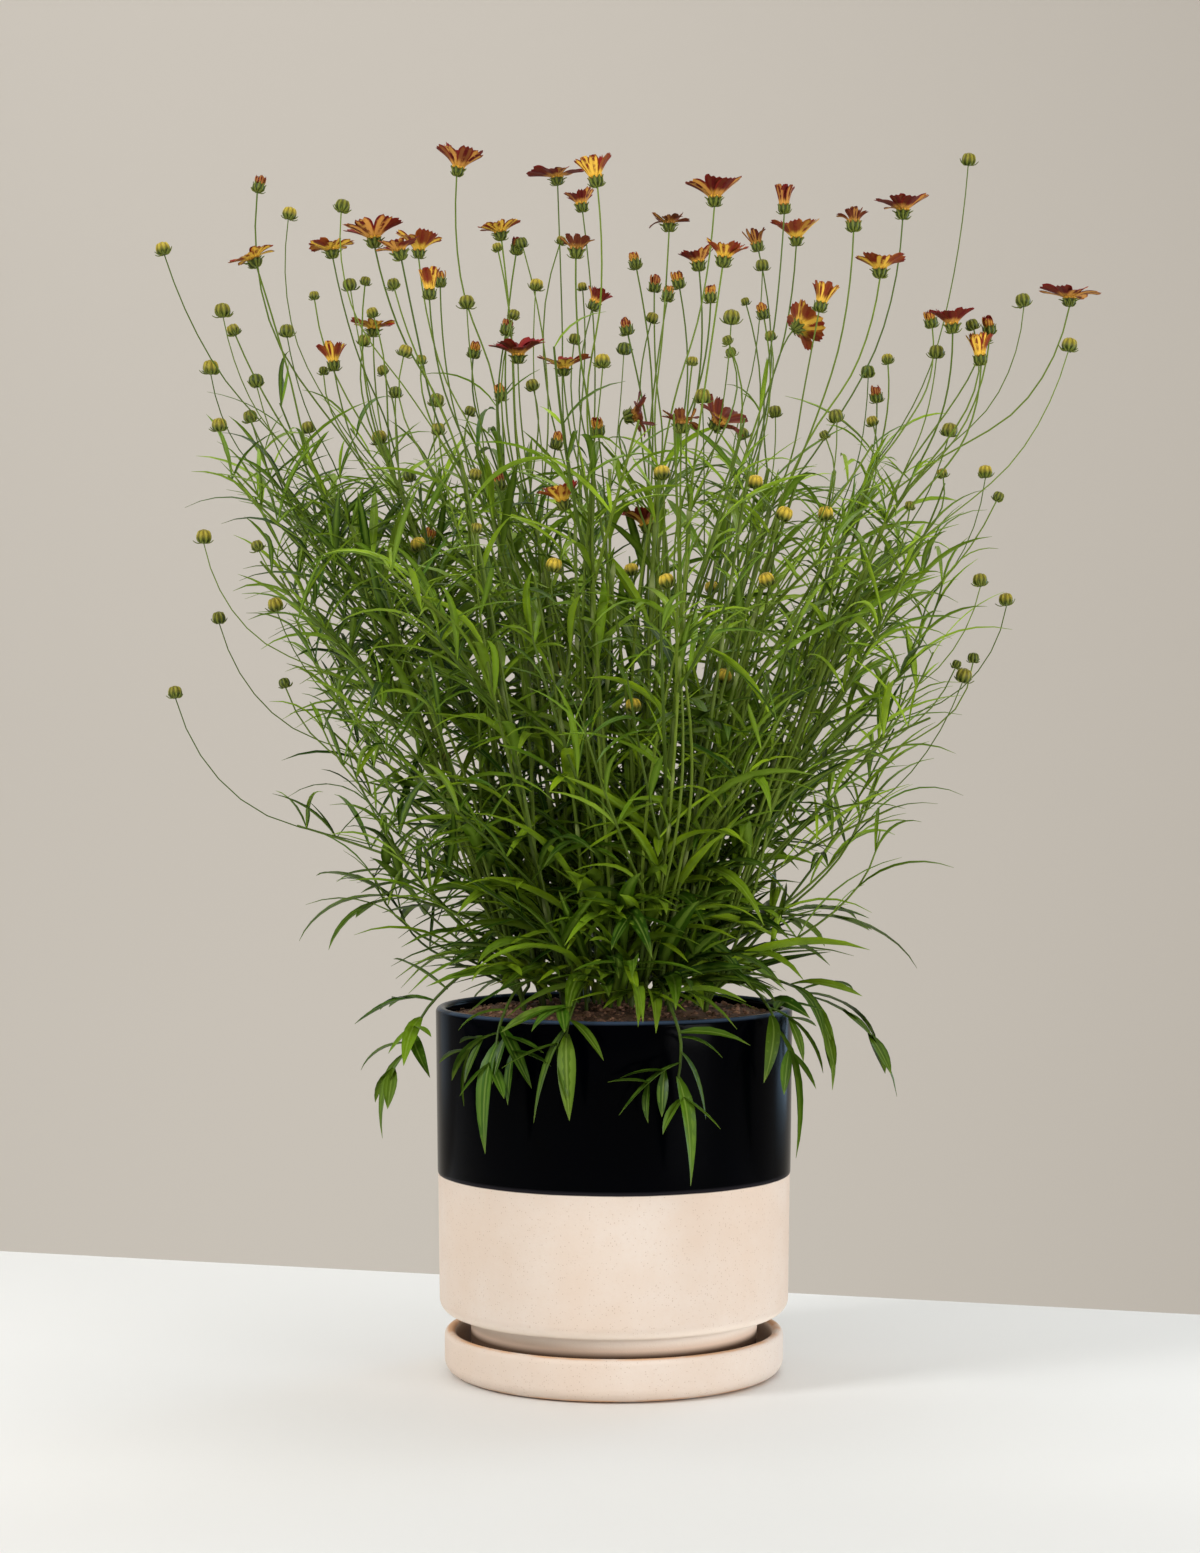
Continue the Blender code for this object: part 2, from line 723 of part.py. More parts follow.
def place_head(stems, room, head, draw):
    """Finds the stem, the depth and the stalk that leave this head clear of all the others."""
    x_mm, up_mm, kind, span, opening, axis = head
    load = (7 if kind == "bud" else 12) * MM
    stem = nearest_stem(stems, x_mm, up_mm, load)
    thick = BUD_STALK_RADIUS if kind == "bud" else STALK_RADIUS
    for attempt in range(HEAD_TRIES):
        line = stem.at(stem.rise_of(up_mm * MM))
        depth = line.y * 0.92 + draw.uniform(-1, 1) * (14 + attempt) * MM
        tip = seen_from_front(x_mm, up_mm, depth)
        room_below = stem.rise_of(tip.z)
        foot = min(room_below - draw.uniform(70, 130) * MM, stem.height - 2 * MM)
        foot = max(foot - draw.uniform(0, 1) * attempt * 1.5 * MM, 30 * MM)
        fork = draw.uniform(0, math.tau)
        points = stalk_path(stem, foot, fork, tip, axis, 4)
        radii = [thick] * len(points)
        sleeve = tube_shape(points, radii, CLEAR)
        above = tube_shape([points[0].lerp(points[1], 0.4)] + points[1:], radii, CLEAR)
        shape = head_shape(tip, axis, kind, span, opening, CLEAR)
        own = ((stem.number, "axis"), (stem.number, "stalk"))
        clear = room.free(sleeve, own) and room.free(above)
        if clear and room.free(shape):
            room.add(tube_shape(points, radii), (stem.number, "stalk"))
            room.add(head_shape(tip, axis, kind, span, opening, 0.0), (stem.number, "head"))
            placed = {"tip": tip, "axis": axis, "kind": kind, "span": span, "opening": opening}
            placed["stalk"] = (points, radii)
            stem.heads.append(placed)
            return placed
    return None


def leaf_path(root, azimuth, rise, droop, length, count):
    """Points of an arching leaf: it leaves at the rise angle and bends down by the droop angle."""
    fine = 24
    points = [root]
    for k in range(fine):
        pitch = rise - droop * (k + 0.5) / fine
        forward = Vector((math.cos(azimuth), math.sin(azimuth), 0)) * math.cos(pitch)
        points.append(points[-1] + (forward + Vector((0, 0, math.sin(pitch)))) * length / fine)
    return [points[round(fine * k / (count - 1))] for k in range(count)]


def leaf_shape(points, width, twist, margin=0.0):
    """A narrow blade, widest in the middle, with its keel underneath."""
    chord = (points[-1] - points[0]).normalized()
    level, up = across(chord)
    side = level * math.cos(twist) + up * math.sin(twist)
    keel = side.cross(chord).normalized()
    if keel.z > 0:
        keel = -keel
    widths = [LEAF_ROOT, width, 0] if len(points) == 3 else [LEAF_ROOT, width, 0.72 * width, 0]
    if margin:
        points = [p - keel * margin for p in points]
        points[-1] = points[-1] + chord * margin
        widths = [w + 2 * margin for w in widths[:-1]] + [0]
    return blade_mesh(points, (side,) * len(points), widths, LEAF_THICKNESS + 2 * margin, keel)


def grow_leaves(stem, room):
    """Opposite pairs up the stem, each pair turned square to the last."""
    leaves = []
    draw = stem.random
    turn = draw.uniform(0, math.tau)
    rise = draw.uniform(8, 20) * MM
    while rise < stem.height - 6 * MM:
        share = rise / STEM_HEIGHT
        for half in (0, math.pi):
            length = (LOW_LEAF + (TOP_LEAF - LOW_LEAF) * share) * draw.uniform(0.8, 1.15)
            width = (LOW_LEAF_WIDTH + (TOP_LEAF_WIDTH - LOW_LEAF_WIDTH) * share) * draw.uniform(
                0.85, 1.1
            )
            radius = STEM_RADIUS * 0.35
            for attempt in range(LEAF_TRIES):
                azimuth = turn + half + draw.uniform(-0.5, 0.5) * (1 + attempt / 5)
                lift = math.radians(draw.uniform(38, 62))
                droop = math.radians(draw.uniform(50, 100))
                outward = Vector((math.cos(azimuth), math.sin(azimuth), 0))
                root = stem.at(rise) + outward * radius
                count = 4 if share < 0.36 else 3
                points = leaf_path(root, azimuth, lift, droop, length, count)
                twist = draw.uniform(-0.5, 0.5)
                fat = leaf_shape(points, width, twist, CLEAR)
                if room.free(fat, ((stem.number, "axis"),)):
                    room.add(leaf_shape(points, width, twist), (stem.number, "leaf"))
                    leaves.append((points, width, twist))
                    break
        turn += math.pi / 2 + draw.uniform(-0.3, 0.3)
        rise += LEAF_STEP * draw.uniform(0.85, 1.15)
    return leaves


def spray_leaf(root, tip, width):
    """A leaf from a runner: its root and tip are given, and it hangs in a low arch between."""
    chord = tip - root
    outward = Vector((root.x, root.y, 0)).normalized()
    bulge = (Vector((0, 0, 1)) + outward * 0.8) * chord.length * 0.12
    points = []
    for t in (0, 0.36, 0.7, 1):
        points.append(root + chord * t + bulge * 4 * t * (1 - t))
    return points


# Assembly


def bare_scene():
    for obj in list(bpy.data.objects):
        bpy.data.objects.remove(obj)
    bpy.context.scene.collection.children.link(parts)
    bpy.context.scene.collection.children.link(cutters)
    cutters.hide_render = True


def grow(room):
    stems = [Stem(number) for number in range(STEM_COUNT)]
    for stem in stems:
        points, radii = stem.path()
        room.add(tube_shape(points, radii), (stem.number, "axis"))
    sprays = grow_sprays(stems, room)
    draw = random.Random(7)
    blooms = []
    for x_mm, up_mm, span, opening, lean, nod, tone in BLOOMS:
        head = (x_mm, up_mm, "bloom", span, opening, head_axis(lean, nod))
        placed = place_head(stems, room, head, draw)
        if placed:
            placed["tone"] = tone
            blooms.append(placed)
    for kind, places in (("opening", OPENING), ("bud", BUDS)):
        for x_mm, up_mm in places:
            axis = head_axis(draw.uniform(-14, 14), draw.uniform(-14, 14))
            place_head(stems, room, (x_mm, up_mm, kind, 0, 0, axis), draw)
    leaves = [grow_leaves(stem, room) for stem in stems]
    return stems, sprays, blooms, leaves


def grow_sprays(stems, room):
    """Each runner leaves the nearest stem a little below its first point."""
    sprays = {}
    for runner, leaves in SPRAYS:
        path = [Vector(point) * MM for point in runner]
        rise = path[0].z - soil_height(CLUMP_RADIUS) - 14 * MM
        stem = min(stems, key=lambda s: (s.at(rise) - path[0]).length)
        points = [stem.at(rise)] + path
        radii = [RUNNER_RADIUS] * len(points)
        room.add(tube_shape(points, radii), (stem.number, "stalk"))
        blades = []
        for start, tip, width in leaves:
            behind = min(int(start), len(path) - 2)
            root = path[behind].lerp(path[behind + 1], start - behind)
            shape_points = spray_leaf(root, Vector(tip) * MM, width * MM)
            blades.append((shape_points, width * MM, 0.0))
            room.add(leaf_shape(shape_points, width * MM, 0.0), (stem.number, "leaf"))
        sprays.setdefault(stem.number, []).append((points, radii, blades))
    return sprays


def make_stem(stem, sprays, leaves, section, finish):
    """One leafy stem with its stalks, buds, opening heads and cups fused into one body."""
    name = f"stem_{stem.number + 1:02d}"
    body = tube(name, *stem.path())
    pieces = []
    for head in stem.heads:
        pieces.append(tube("stalk", *head["stalk"], section))
        tip = head["tip"]
        axis = head["axis"]
        if head["kind"] == "bud":
            pieces.append(ball("bud", tip + axis * BUD_RADIUS * 0.8, BUD_RADIUS))
            continue
        foot = tip - axis * 1 * MM
        height = 1 * MM + (CUP_HEIGHT if head["kind"] == "bloom" else OPENING_HEIGHT)
        pieces.append(cone("cup", foot, axis, 1.7 * MM, CUP_RADIUS, height, 5))
    for points, radii, blades in sprays:
        pieces.append(tube("runner", points, radii, section))
        leaves = blades + leaves
    for points, width, twist in leaves:
        pieces.append(mesh_object("leaf", *leaf_shape(points, width, twist)))
    return fuse(name, body, pieces, finish)


def make_bloom(number, head, finish):
    """A disc with its rays, just above the cup that carries it."""
    base = head["tip"] + head["axis"] * (CUP_HEIGHT + GAP)
    name = f"bloom_{number:02d}"
    count = ray_count(head["opening"])
    mesh = bloom_mesh(name, base, head["axis"], head["span"], head["opening"], count)
    return put(bpy.data.objects.new(name, mesh), finish)


def cut_stem_holes(soil, stems):
    """Each stem stands in a plain hole of its own section, a hair wider and deeper."""
    for stem in stems:
        points, radii = stem.path()
        low = points[0] - Vector((0, 0, GAP))
        high = points[1] + Vector((0, 0, 20 * MM))
        wide = radii[0] + GAP * math.sqrt(2)
        hole = tube(f"hole_{stem.number + 1:02d}", [low, high], [wide, wide])
        hole.hide_render = True
        hole.display_type = "WIRE"
        cutters.objects.link(hole)
    cut = soil.modifiers.new("stem holes", "BOOLEAN")
    cut.operation = "DIFFERENCE"
    cut.operand_type = "COLLECTION"
    cut.collection = cutters
    cut.solver = "MANIFOLD"


def main():
    bare_scene()
    bisque = material("bisque", (0.80, 0.67, 0.55), 0.8)
    glazed = material("glazed", (0.012, 0.016, 0.03), 0.15)
    earth = material("earth", (0.09, 0.045, 0.028), 0.95)
    green = material("green", (0.10, 0.22, 0.04), 0.55)
    tones = {
        "red": material("red_ray", (0.35, 0.02, 0.02), 0.6),
        "gold": material("gold_ray", (0.75, 0.40, 0.06), 0.6),
        "spent": material("spent_ray", (0.45, 0.20, 0.07), 0.7),
    }
    make_pot(glazed)
    make_saucer(bisque)
    soil = make_soil(earth)

    room = Room()
    wall = [Vector((0, 0, 8 * MM)), Vector((0, 0, POT_RIM_Z))]
    room.add(tube_shape(wall, (POT_RADIUS / 1.1 + 1.5 * MM,) * 2), "pot")
    stems, sprays, blooms, leaves = grow(room)
    section = triangle_section()
    for stem, blades in zip(stems, leaves):
        make_stem(stem, sprays.get(stem.number, ()), blades, section, green)
    for number, head in enumerate(blooms, start=1):
        make_bloom(number, head, tones[head["tone"]])
    bpy.data.objects.remove(section)
    cut_stem_holes(soil, stems)


main()
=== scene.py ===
"""A coreopsis in bloom in its two-tone stoneware pot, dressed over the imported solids.

The frame is metres, +Z up, with the origin under the middle of the saucer and the front towards -Y.
"""

import math
import random

import bmesh
import bpy
import numpy as np
from mathutils import Matrix, Vector
from mathutils.bvhtree import BVHTree


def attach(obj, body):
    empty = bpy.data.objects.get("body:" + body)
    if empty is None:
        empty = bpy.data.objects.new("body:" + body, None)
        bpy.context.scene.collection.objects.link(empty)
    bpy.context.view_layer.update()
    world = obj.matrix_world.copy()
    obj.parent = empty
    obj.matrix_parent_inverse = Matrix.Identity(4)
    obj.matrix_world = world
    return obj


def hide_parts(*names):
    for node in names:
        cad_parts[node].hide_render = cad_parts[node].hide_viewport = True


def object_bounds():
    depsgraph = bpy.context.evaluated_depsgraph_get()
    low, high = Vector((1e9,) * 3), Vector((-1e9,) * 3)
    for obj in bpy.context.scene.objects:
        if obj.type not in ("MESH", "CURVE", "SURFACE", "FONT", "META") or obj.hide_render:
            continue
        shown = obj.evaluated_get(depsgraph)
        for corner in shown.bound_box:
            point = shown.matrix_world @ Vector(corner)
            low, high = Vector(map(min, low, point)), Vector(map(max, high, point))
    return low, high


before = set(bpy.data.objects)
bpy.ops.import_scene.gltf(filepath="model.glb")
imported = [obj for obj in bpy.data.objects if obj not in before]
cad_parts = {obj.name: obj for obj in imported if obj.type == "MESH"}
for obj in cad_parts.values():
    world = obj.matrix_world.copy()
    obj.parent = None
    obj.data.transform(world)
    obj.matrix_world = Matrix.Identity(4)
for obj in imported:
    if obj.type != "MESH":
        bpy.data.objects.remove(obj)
cad_low, cad_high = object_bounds()

# ---------------------------------------------------------------------------------------------
# Camera. It stands 1.8 m in front, a little above the middle of the plant, and looks very
# slightly down. The frame is upright, 1200 by 1553, so the lens is set by its height.

EYE_DISTANCE = 1.8
EYE_HEIGHT = 0.368
AIM_X = -0.0079
AIM_Z = 0.335
FRAME_HEIGHT = 0.875


def added(name, data):
    """An object that holds the data, put in the scene."""
    made = bpy.data.objects.new(name, data)
    bpy.context.scene.collection.objects.link(made)
    return made


lens = bpy.data.cameras.new("camera")
lens.sensor_fit = "VERTICAL"
lens.sensor_height = 36.0
lens.lens = lens.sensor_height * EYE_DISTANCE / FRAME_HEIGHT
lens.clip_end = 50.0
camera = added("camera", lens)
camera.location = (AIM_X, -EYE_DISTANCE, EYE_HEIGHT)
look = Vector((0.0, EYE_DISTANCE, AIM_Z - EYE_HEIGHT))
camera.rotation_euler = look.to_track_quat("-Z", "Y").to_euler()
bpy.context.scene.camera = camera
bpy.context.scene.view_settings.view_transform = "Standard"

# ---------------------------------------------------------------------------------------------
# The set: a plain white table whose far edge runs a little askew behind the pot, and a beige
# wall well behind it. Neither is part of the object.

TABLE_THICK = 0.04
TABLE_GAP = 0.0002
TABLE_EDGE = ((-1.3, 0.668), (1.3, -0.112))
TABLE_FRONT = -1.7
TABLE_PALE = (0.834, 0.830, 0.816)
TABLE_PAINTED_SHADE = (0.750, 0.746, 0.733)
PAINTED_SHADE_BEGINS = -0.22
PAINTED_SHADE_FULL = -0.40
WALL_Y = 3.0
WALL_THICK = 0.1
WALL_REACH = 4
WALL_LOW_Z = -2.0
WALL_TOP_Z = 3.5
WALL_WARM = (0.562, 0.526, 0.478)
WALL_PALE = (0.592, 0.556, 0.508)


class Value:
    """A number or a colour in a finish's node tree, with plain arithmetic on it."""

    def __init__(self, finish, socket):
        self.finish = finish
        self.socket = socket

    def sum(self, operation, *others):
        sockets = dict(enumerate(others))
        return self.finish.node("ShaderNodeMath", {"operation": operation}, sockets)

    def __add__(self, other):
        return self.sum("ADD", self, other)

    def __radd__(self, other):
        return self.sum("ADD", other, self)

    def __sub__(self, other):
        return self.sum("SUBTRACT", self, other)

    def __rsub__(self, other):
        return self.sum("SUBTRACT", other, self)

    def __mul__(self, other):
        return self.sum("MULTIPLY", self, other)

    def __rmul__(self, other):
        return self.sum("MULTIPLY", other, self)

    def size(self):
        return self.sum("ABSOLUTE", self)

    def step(self, low, high):
        """0 below low and 1 above high, smooth between them; low may be the larger."""
        return self.finish.node(
            "ShaderNodeMapRange",
            {"interpolation_type": "SMOOTHSTEP"},
            {"Value": self, "From Min": low, "From Max": high},
        )


class Finish:
    """One material on one Principled shader: node() adds a node, feed() links its value."""

    def __init__(self, name, colour, roughness, shine=0.5):
        self.material = bpy.data.materials.new(name)
        self.material.use_nodes = True
        self.material.diffuse_color = (*colour, 1.0)
        self.tree = self.material.node_tree
        self.shader = self.tree.nodes["Principled BSDF"]
        self.shader.inputs["Base Color"].default_value = (*colour, 1.0)
        self.shader.inputs["Roughness"].default_value = roughness
        self.shader.inputs["Specular IOR Level"].default_value = shine

    def node(self, kind, settings=None, sockets=None, output=0):
        """A new node; its sockets are given as numbers or as values to link."""
        made = self.tree.nodes.new(kind)
        for name, value in (settings or {}).items():
            setattr(made, name, value)
        for name, value in (sockets or {}).items():
            if isinstance(value, Value):
                self.tree.links.new(value.socket, made.inputs[name])
            else:
                made.inputs[name].default_value = value
        return Value(self, made.outputs[output])

    def place(self, scale=(1.0, 1.0, 1.0)):
        """Where a point lies on the piece, in metres, stretched by the scale."""
        here = self.node("ShaderNodeTexCoord", output=3)
        return self.node("ShaderNodeVectorMath", {"operation": "MULTIPLY"}, {0: here, 1: scale})

    def part_of(self, vector, axis):
        return self.node("ShaderNodeSeparateXYZ", None, {0: vector}, axis)

    def noise(self, scale, detail, rough=0.5, vector=None):
        sockets = {"Scale": scale, "Detail": detail, "Roughness": rough}
        sockets["Vector"] = vector or self.place()
        return self.node("ShaderNodeTexNoise", None, sockets)

    def mix(self, share, low, high):
        """A colour between two; each is a colour value or a plain triple."""
        low, high = (c if isinstance(c, Value) else (*c, 1.0) for c in (low, high))
        return self.node("ShaderNodeMix", {"data_type": "RGBA"}, {0: share, 6: low, 7: high}, 2)

    def sine(self, value):
        return self.node("ShaderNodeMath", {"operation": "SINE"}, {0: value})

    def growth(self):
        """The four numbers a grown face keeps: along, across, underside, and its own tone."""
        marks = self.node("ShaderNodeAttribute", {"attribute_name": "growth"})
        split = [self.part_of(marks, k) for k in range(3)]
        tone = Value(self, marks.socket.node.outputs["Alpha"])
        return (*split, tone)

    def feed(self, socket, value):
        self.tree.links.new(value.socket, self.shader.inputs[socket])

    def cover(self, colour, roughness, height, distance, strength):
        """Gives the surface its colour, its roughness and a fine relief."""
        relief = {"Height": height, "Distance": distance, "Strength": strength}
        self.feed("Base Color", colour)
        self.feed("Roughness", roughness)
        self.feed("Normal", self.node("ShaderNodeBump", None, relief))


white = Finish("table_white", TABLE_PALE, 0.6)
# Painted shade: the table is darker towards the front, where the light falls brighter, so that it
# reads evenly white.
near = white.part_of(white.place(), 1).step(PAINTED_SHADE_BEGINS, PAINTED_SHADE_FULL)
shaded_white = white.mix(near, TABLE_PALE, TABLE_PAINTED_SHADE)
satin = 0.55 + white.noise(30.0, 3.0) * 0.1
white.cover(shaded_white, satin, white.noise(900.0, 2.0), 0.0002, 0.2)
beige = Finish("wall_beige", (0.57, 0.53, 0.47), 0.9)
beige.feed("Base Color", beige.mix(beige.noise(0.7, 1.0), WALL_WARM, WALL_PALE))


def slab(name, corners, low, high, finish):
    """An upright prism over the corners, with eased edges."""
    build = bmesh.new()
    ring = [build.verts.new((x, y, low)) for x, y in corners]
    top = [build.verts.new((x, y, high)) for x, y in corners]
    build.faces.new(ring[::-1])
    build.faces.new(top)
    for k in range(len(ring)):
        after = (k + 1) % len(ring)
        build.faces.new((ring[k], ring[after], top[after], top[k]))
    rounding = {"offset": 0.004, "segments": 3, "profile": 0.5, "affect": "EDGES"}
    bmesh.ops.bevel(build, geom=build.edges[:], **rounding)
    mesh = bpy.data.meshes.new(name)
    build.to_mesh(mesh)
    build.free()
    mesh.shade_smooth()
    mesh.materials.append(finish.material)
    return added(name, mesh)


left_end, right_end = TABLE_EDGE
outline = [(left_end[0], TABLE_FRONT), (right_end[0], TABLE_FRONT), right_end, left_end]
table = slab("table", outline, -TABLE_THICK, -TABLE_GAP, white)
wall_back = WALL_Y + WALL_THICK
outline = [(-WALL_REACH, WALL_Y), (WALL_REACH, WALL_Y)]
outline += [(WALL_REACH, wall_back), (-WALL_REACH, wall_back)]
wall = slab("wall", outline, WALL_LOW_Z, WALL_TOP_Z, beige)

# Soft light: a key from the front left, a low fill from the right, weaker boxes overhead and over
# the front of the table, two that only wash the wall, two bluish ones from behind for the edges
# of the glaze, and a pale surround. Each has its place, its aim, its size, its watts and colour.


def softbox(name, place, aim, width, height, watts, colour=(1.0, 1.0, 1.0)):
    """A rectangle of light at the place, turned towards its aim."""
    light = bpy.data.lights.new(name, "AREA")
    light.shape = "RECTANGLE"
    light.size = width
    light.size_y = height
    light.energy = watts
    light.color = colour
    lamp = added(name, light)
    lamp.location = place
    lamp.rotation_euler = (Vector(aim) - Vector(place)).to_track_quat("-Z", "Y").to_euler()


softbox("key", (-1.9, -1.1, 1.5), (0, 0, 0.3), 0.6, 0.6, 36.0, (0.97, 0.99, 1.0))
softbox("fill", (1.9, -1.7, 0.5), (0, 0, 0.3), 1.2, 0.9, 36.0, (0.99, 0.99, 1.0))
softbox("top", (0.3, 0.5, 2.2), (0, 0, 0.3), 1.4, 1.4, 15.0, (1.0, 1.0, 0.98))
softbox("front", (0.0, -1.5, 2.0), (0, -0.9, 0.0), 1.4, 0.8, 1.6)
softbox("apron", (0.0, -1.0, 1.1), (0, -0.5, 0.0), 1.8, 0.4, 2.2)
softbox("wash", (-0.7, 1.4, 2.6), (-0.5, 3.0, 0.6), 3.0, 1.0, 19.4)
softbox("wash_low", (-0.6, 1.4, -1.2), (-0.4, 3.0, 0.2), 3.0, 1.0, 13.2)
softbox("rim_left", (-1.3, 1.5, 0.5), (0, 0, 0.2), 0.6, 1.2, 1.2, (0.42, 0.68, 1.0))
softbox("rim_right", (1.3, 1.4, 0.5), (0, 0, 0.2), 0.7, 1.2, 7.5, (0.42, 0.70, 1.0))

world = bpy.data.worlds.new("surround")
world.use_nodes = True
air = world.node_tree.nodes["Background"]
air.inputs["Color"].default_value = (0.75, 0.71, 0.645, 1.0)
air.inputs["Strength"].default_value = 0.575
bpy.context.scene.world = world

# ---------------------------------------------------------------------------------------------
# The pot: slip-cast stoneware, straight sided with a rounded rim, turned in below to a narrower
# foot with a drain hole. It is dipped in a gloss near-black glaze down to a level line, and the
# clay below is bare, pale and finely speckled.

MM = 0.001
GAP = 0.3 * MM
POT_RADIUS = 100.5 * MM
POT_RIM_Z = 206 * MM
POT_WALL = 6 * MM
POT_BODY_LOW_Z = 40 * MM
POT_DRAFT = 1.9 * MM
FOOT_RADIUS = 80.9 * MM
FOOT_TOP_Z = 31 * MM
SHOULDER = 8 * MM
POT_FLOOR = 9 * MM
POT_INNER_LOW_Z = 47 * MM
POT_INNER_CORNER = 6 * MM
DRAIN_RADIUS = 7 * MM
SAUCER_FLOOR = 8 * MM
GLAZE_LINE_Z = 112.5 * MM
GLAZE_THICK = 0.35 * MM
TURNED_STEPS = 144
TURNED_SHARP = math.radians(50)


def arc(centre_x, centre_z, radius, start, end, count):
    """Points of a profile's round corner, angles in degrees from +X towards +Z."""
    angles = np.radians(np.linspace(start, end, count))
    return [(centre_x + radius * math.cos(a), centre_z + radius * math.sin(a)) for a in angles]


def spaced(start, end, count):
    """Points on a straight run of the profile, with both ends left out."""
    shares = np.linspace(0, 1, count + 2)[1:-1]
    return [
        (start[0] + (end[0] - start[0]) * s, start[1] + (end[1] - start[1]) * s) for s in shares
    ]


def turned(name, profile, closed, wobble):
    """The profile screwed round Z, applied, with a faint hand-made unevenness."""
    mesh = bpy.data.meshes.new(name)
    count = len(profile)
    edges = [(k, k + 1) for k in range(count - 1)]
    if closed:
        edges.append((count - 1, 0))
    mesh.from_pydata([(x, 0.0, z) for x, z in profile], edges, [])
    made = added(name, mesh)
    screw = made.modifiers.new("turn", "SCREW")
    screw.steps = TURNED_STEPS
    screw.render_steps = TURNED_STEPS
    screw.use_merge_vertices = True
    screw.merge_threshold = 1e-5
    graph = bpy.context.evaluated_depsgraph_get()
    solid = bpy.data.meshes.new_from_object(made.evaluated_get(graph))
    made.modifiers.remove(screw)
    made.data = solid
    for vert in solid.vertices:
        x, y, z = vert.co
        angle = math.atan2(y, x)
        swell = 1 + wobble * (math.sin(2 * angle + z * 20) + 0.6 * math.sin(3 * angle - z * 31))
        vert.co = (x * swell, y * swell, z)
    solid.shade_smooth()
    solid.set_sharp_from_angle(angle=TURNED_SHARP)
    return made


def pot_inner_radius(height):
    """The inside of the pot's wall, which follows the slight draft of the outside."""
    share = (POT_RIM_Z - height) / (POT_RIM_Z - POT_BODY_LOW_Z)
    return POT_RADIUS - POT_WALL - POT_DRAFT * share


def pot_outer_radius(height):
    return pot_inner_radius(height) + POT_WALL


lip = POT_WALL / 2
low_radius = POT_RADIUS - POT_DRAFT
under = SAUCER_FLOOR + GAP
floor = under + POT_FLOOR
foot_inside = FOOT_RADIUS - POT_WALL
floor_edge = foot_inside - POT_INNER_CORNER
ledge = POT_BODY_LOW_Z + 1 * MM
profile = [(DRAIN_RADIUS, floor), (floor_edge, floor)]
profile += arc(floor_edge, floor + POT_INNER_CORNER, POT_INNER_CORNER, -80, 0, 6)
profile += [(foot_inside, ledge - 5 * MM), (foot_inside + 3 * MM, ledge - 1.5 * MM)]
inner_low = pot_inner_radius(POT_INNER_LOW_Z)
profile += [(low_radius - 9 * MM, ledge), (inner_low - 1 * MM, ledge + 3 * MM)]
inner_top = (POT_RADIUS - POT_WALL, POT_RIM_Z - 3.5 * MM)
profile += spaced((inner_low, POT_INNER_LOW_Z), inner_top, 6)
profile += arc(POT_RADIUS - lip, POT_RIM_Z - lip, lip, 180, 0, 13)
glaze_foot = (pot_outer_radius(GLAZE_LINE_Z), GLAZE_LINE_Z)
profile += spaced((POT_RADIUS, POT_RIM_Z - lip), glaze_foot, 5)
profile += [
    (glaze_foot[0], GLAZE_LINE_Z + 1.6 * MM),
    (glaze_foot[0] - 0.1 * MM, GLAZE_LINE_Z + 0.5 * MM),
    (glaze_foot[0] - GLAZE_THICK, GLAZE_LINE_Z - 0.2 * MM),
]
clay_side = low_radius - GLAZE_THICK
corner_z = POT_BODY_LOW_Z + 2 * MM
profile += spaced((glaze_foot[0] - GLAZE_THICK, GLAZE_LINE_Z), (clay_side, corner_z), 4)
profile += arc(clay_side - SHOULDER, corner_z, SHOULDER, 0, -72, 9)
# Under its shoulder the body turns in to the foot, which narrows a little to its base.
profile += [(clay_side - 8.3 * MM, 33.9 * MM), (86 * MM, 33.3 * MM), (83 * MM, 32.5 * MM)]
profile += [(FOOT_RADIUS + 0.7 * MM, FOOT_TOP_Z), (FOOT_RADIUS, FOOT_TOP_Z - 2.5 * MM)]
profile += [(FOOT_RADIUS - 0.4 * MM, 20 * MM), (FOOT_RADIUS - 1.0 * MM, under + 1.2 * MM)]
profile += [(FOOT_RADIUS - 2.4 * MM, under), (DRAIN_RADIUS, under)]
pot = turned("glazed_pot", profile, True, 0.0007)

CLAY_PALE = (0.705, 0.614, 0.542)
CLAY_WARM = (0.672, 0.547, 0.452)
CLAY_BROWN = (0.30, 0.16, 0.08)
CLAY_GAP_SHADE = (0.05, 0.022, 0.010)
CLAY_TOAST_AND_SHADE = (0.62, 0.33, 0.15)
CLAY_PAINTED_LIGHT = (0.97, 0.87, 0.77)
GRIT_SCALE = 900.0
# The bare foot: painted light on the bend under the shoulder, then toasted clay with painted shade
# and a near-black painted shade down into the gap: where each tint begins, where it is full, how
# strong it is, and its colour.
FOOT_LIGHT_AND_SHADE = (
    (41.0 * MM, 34.5 * MM, 0.85, CLAY_PAINTED_LIGHT),
    (31.0 * MM, 23.0 * MM, 0.50, CLAY_TOAST_AND_SHADE),
    (26.0 * MM, 21.8 * MM, 0.93, CLAY_GAP_SHADE),
)
GLAZE_DARK = (0.0001, 0.0002, 0.0006)
GLAZE_BLUE = (0.0002, 0.0005, 0.0020)
GLAZE_THIN = (0.022, 0.020, 0.024)
GLAZE_RIM_HIGHLIGHT = (0.055, 0.085, 0.14)


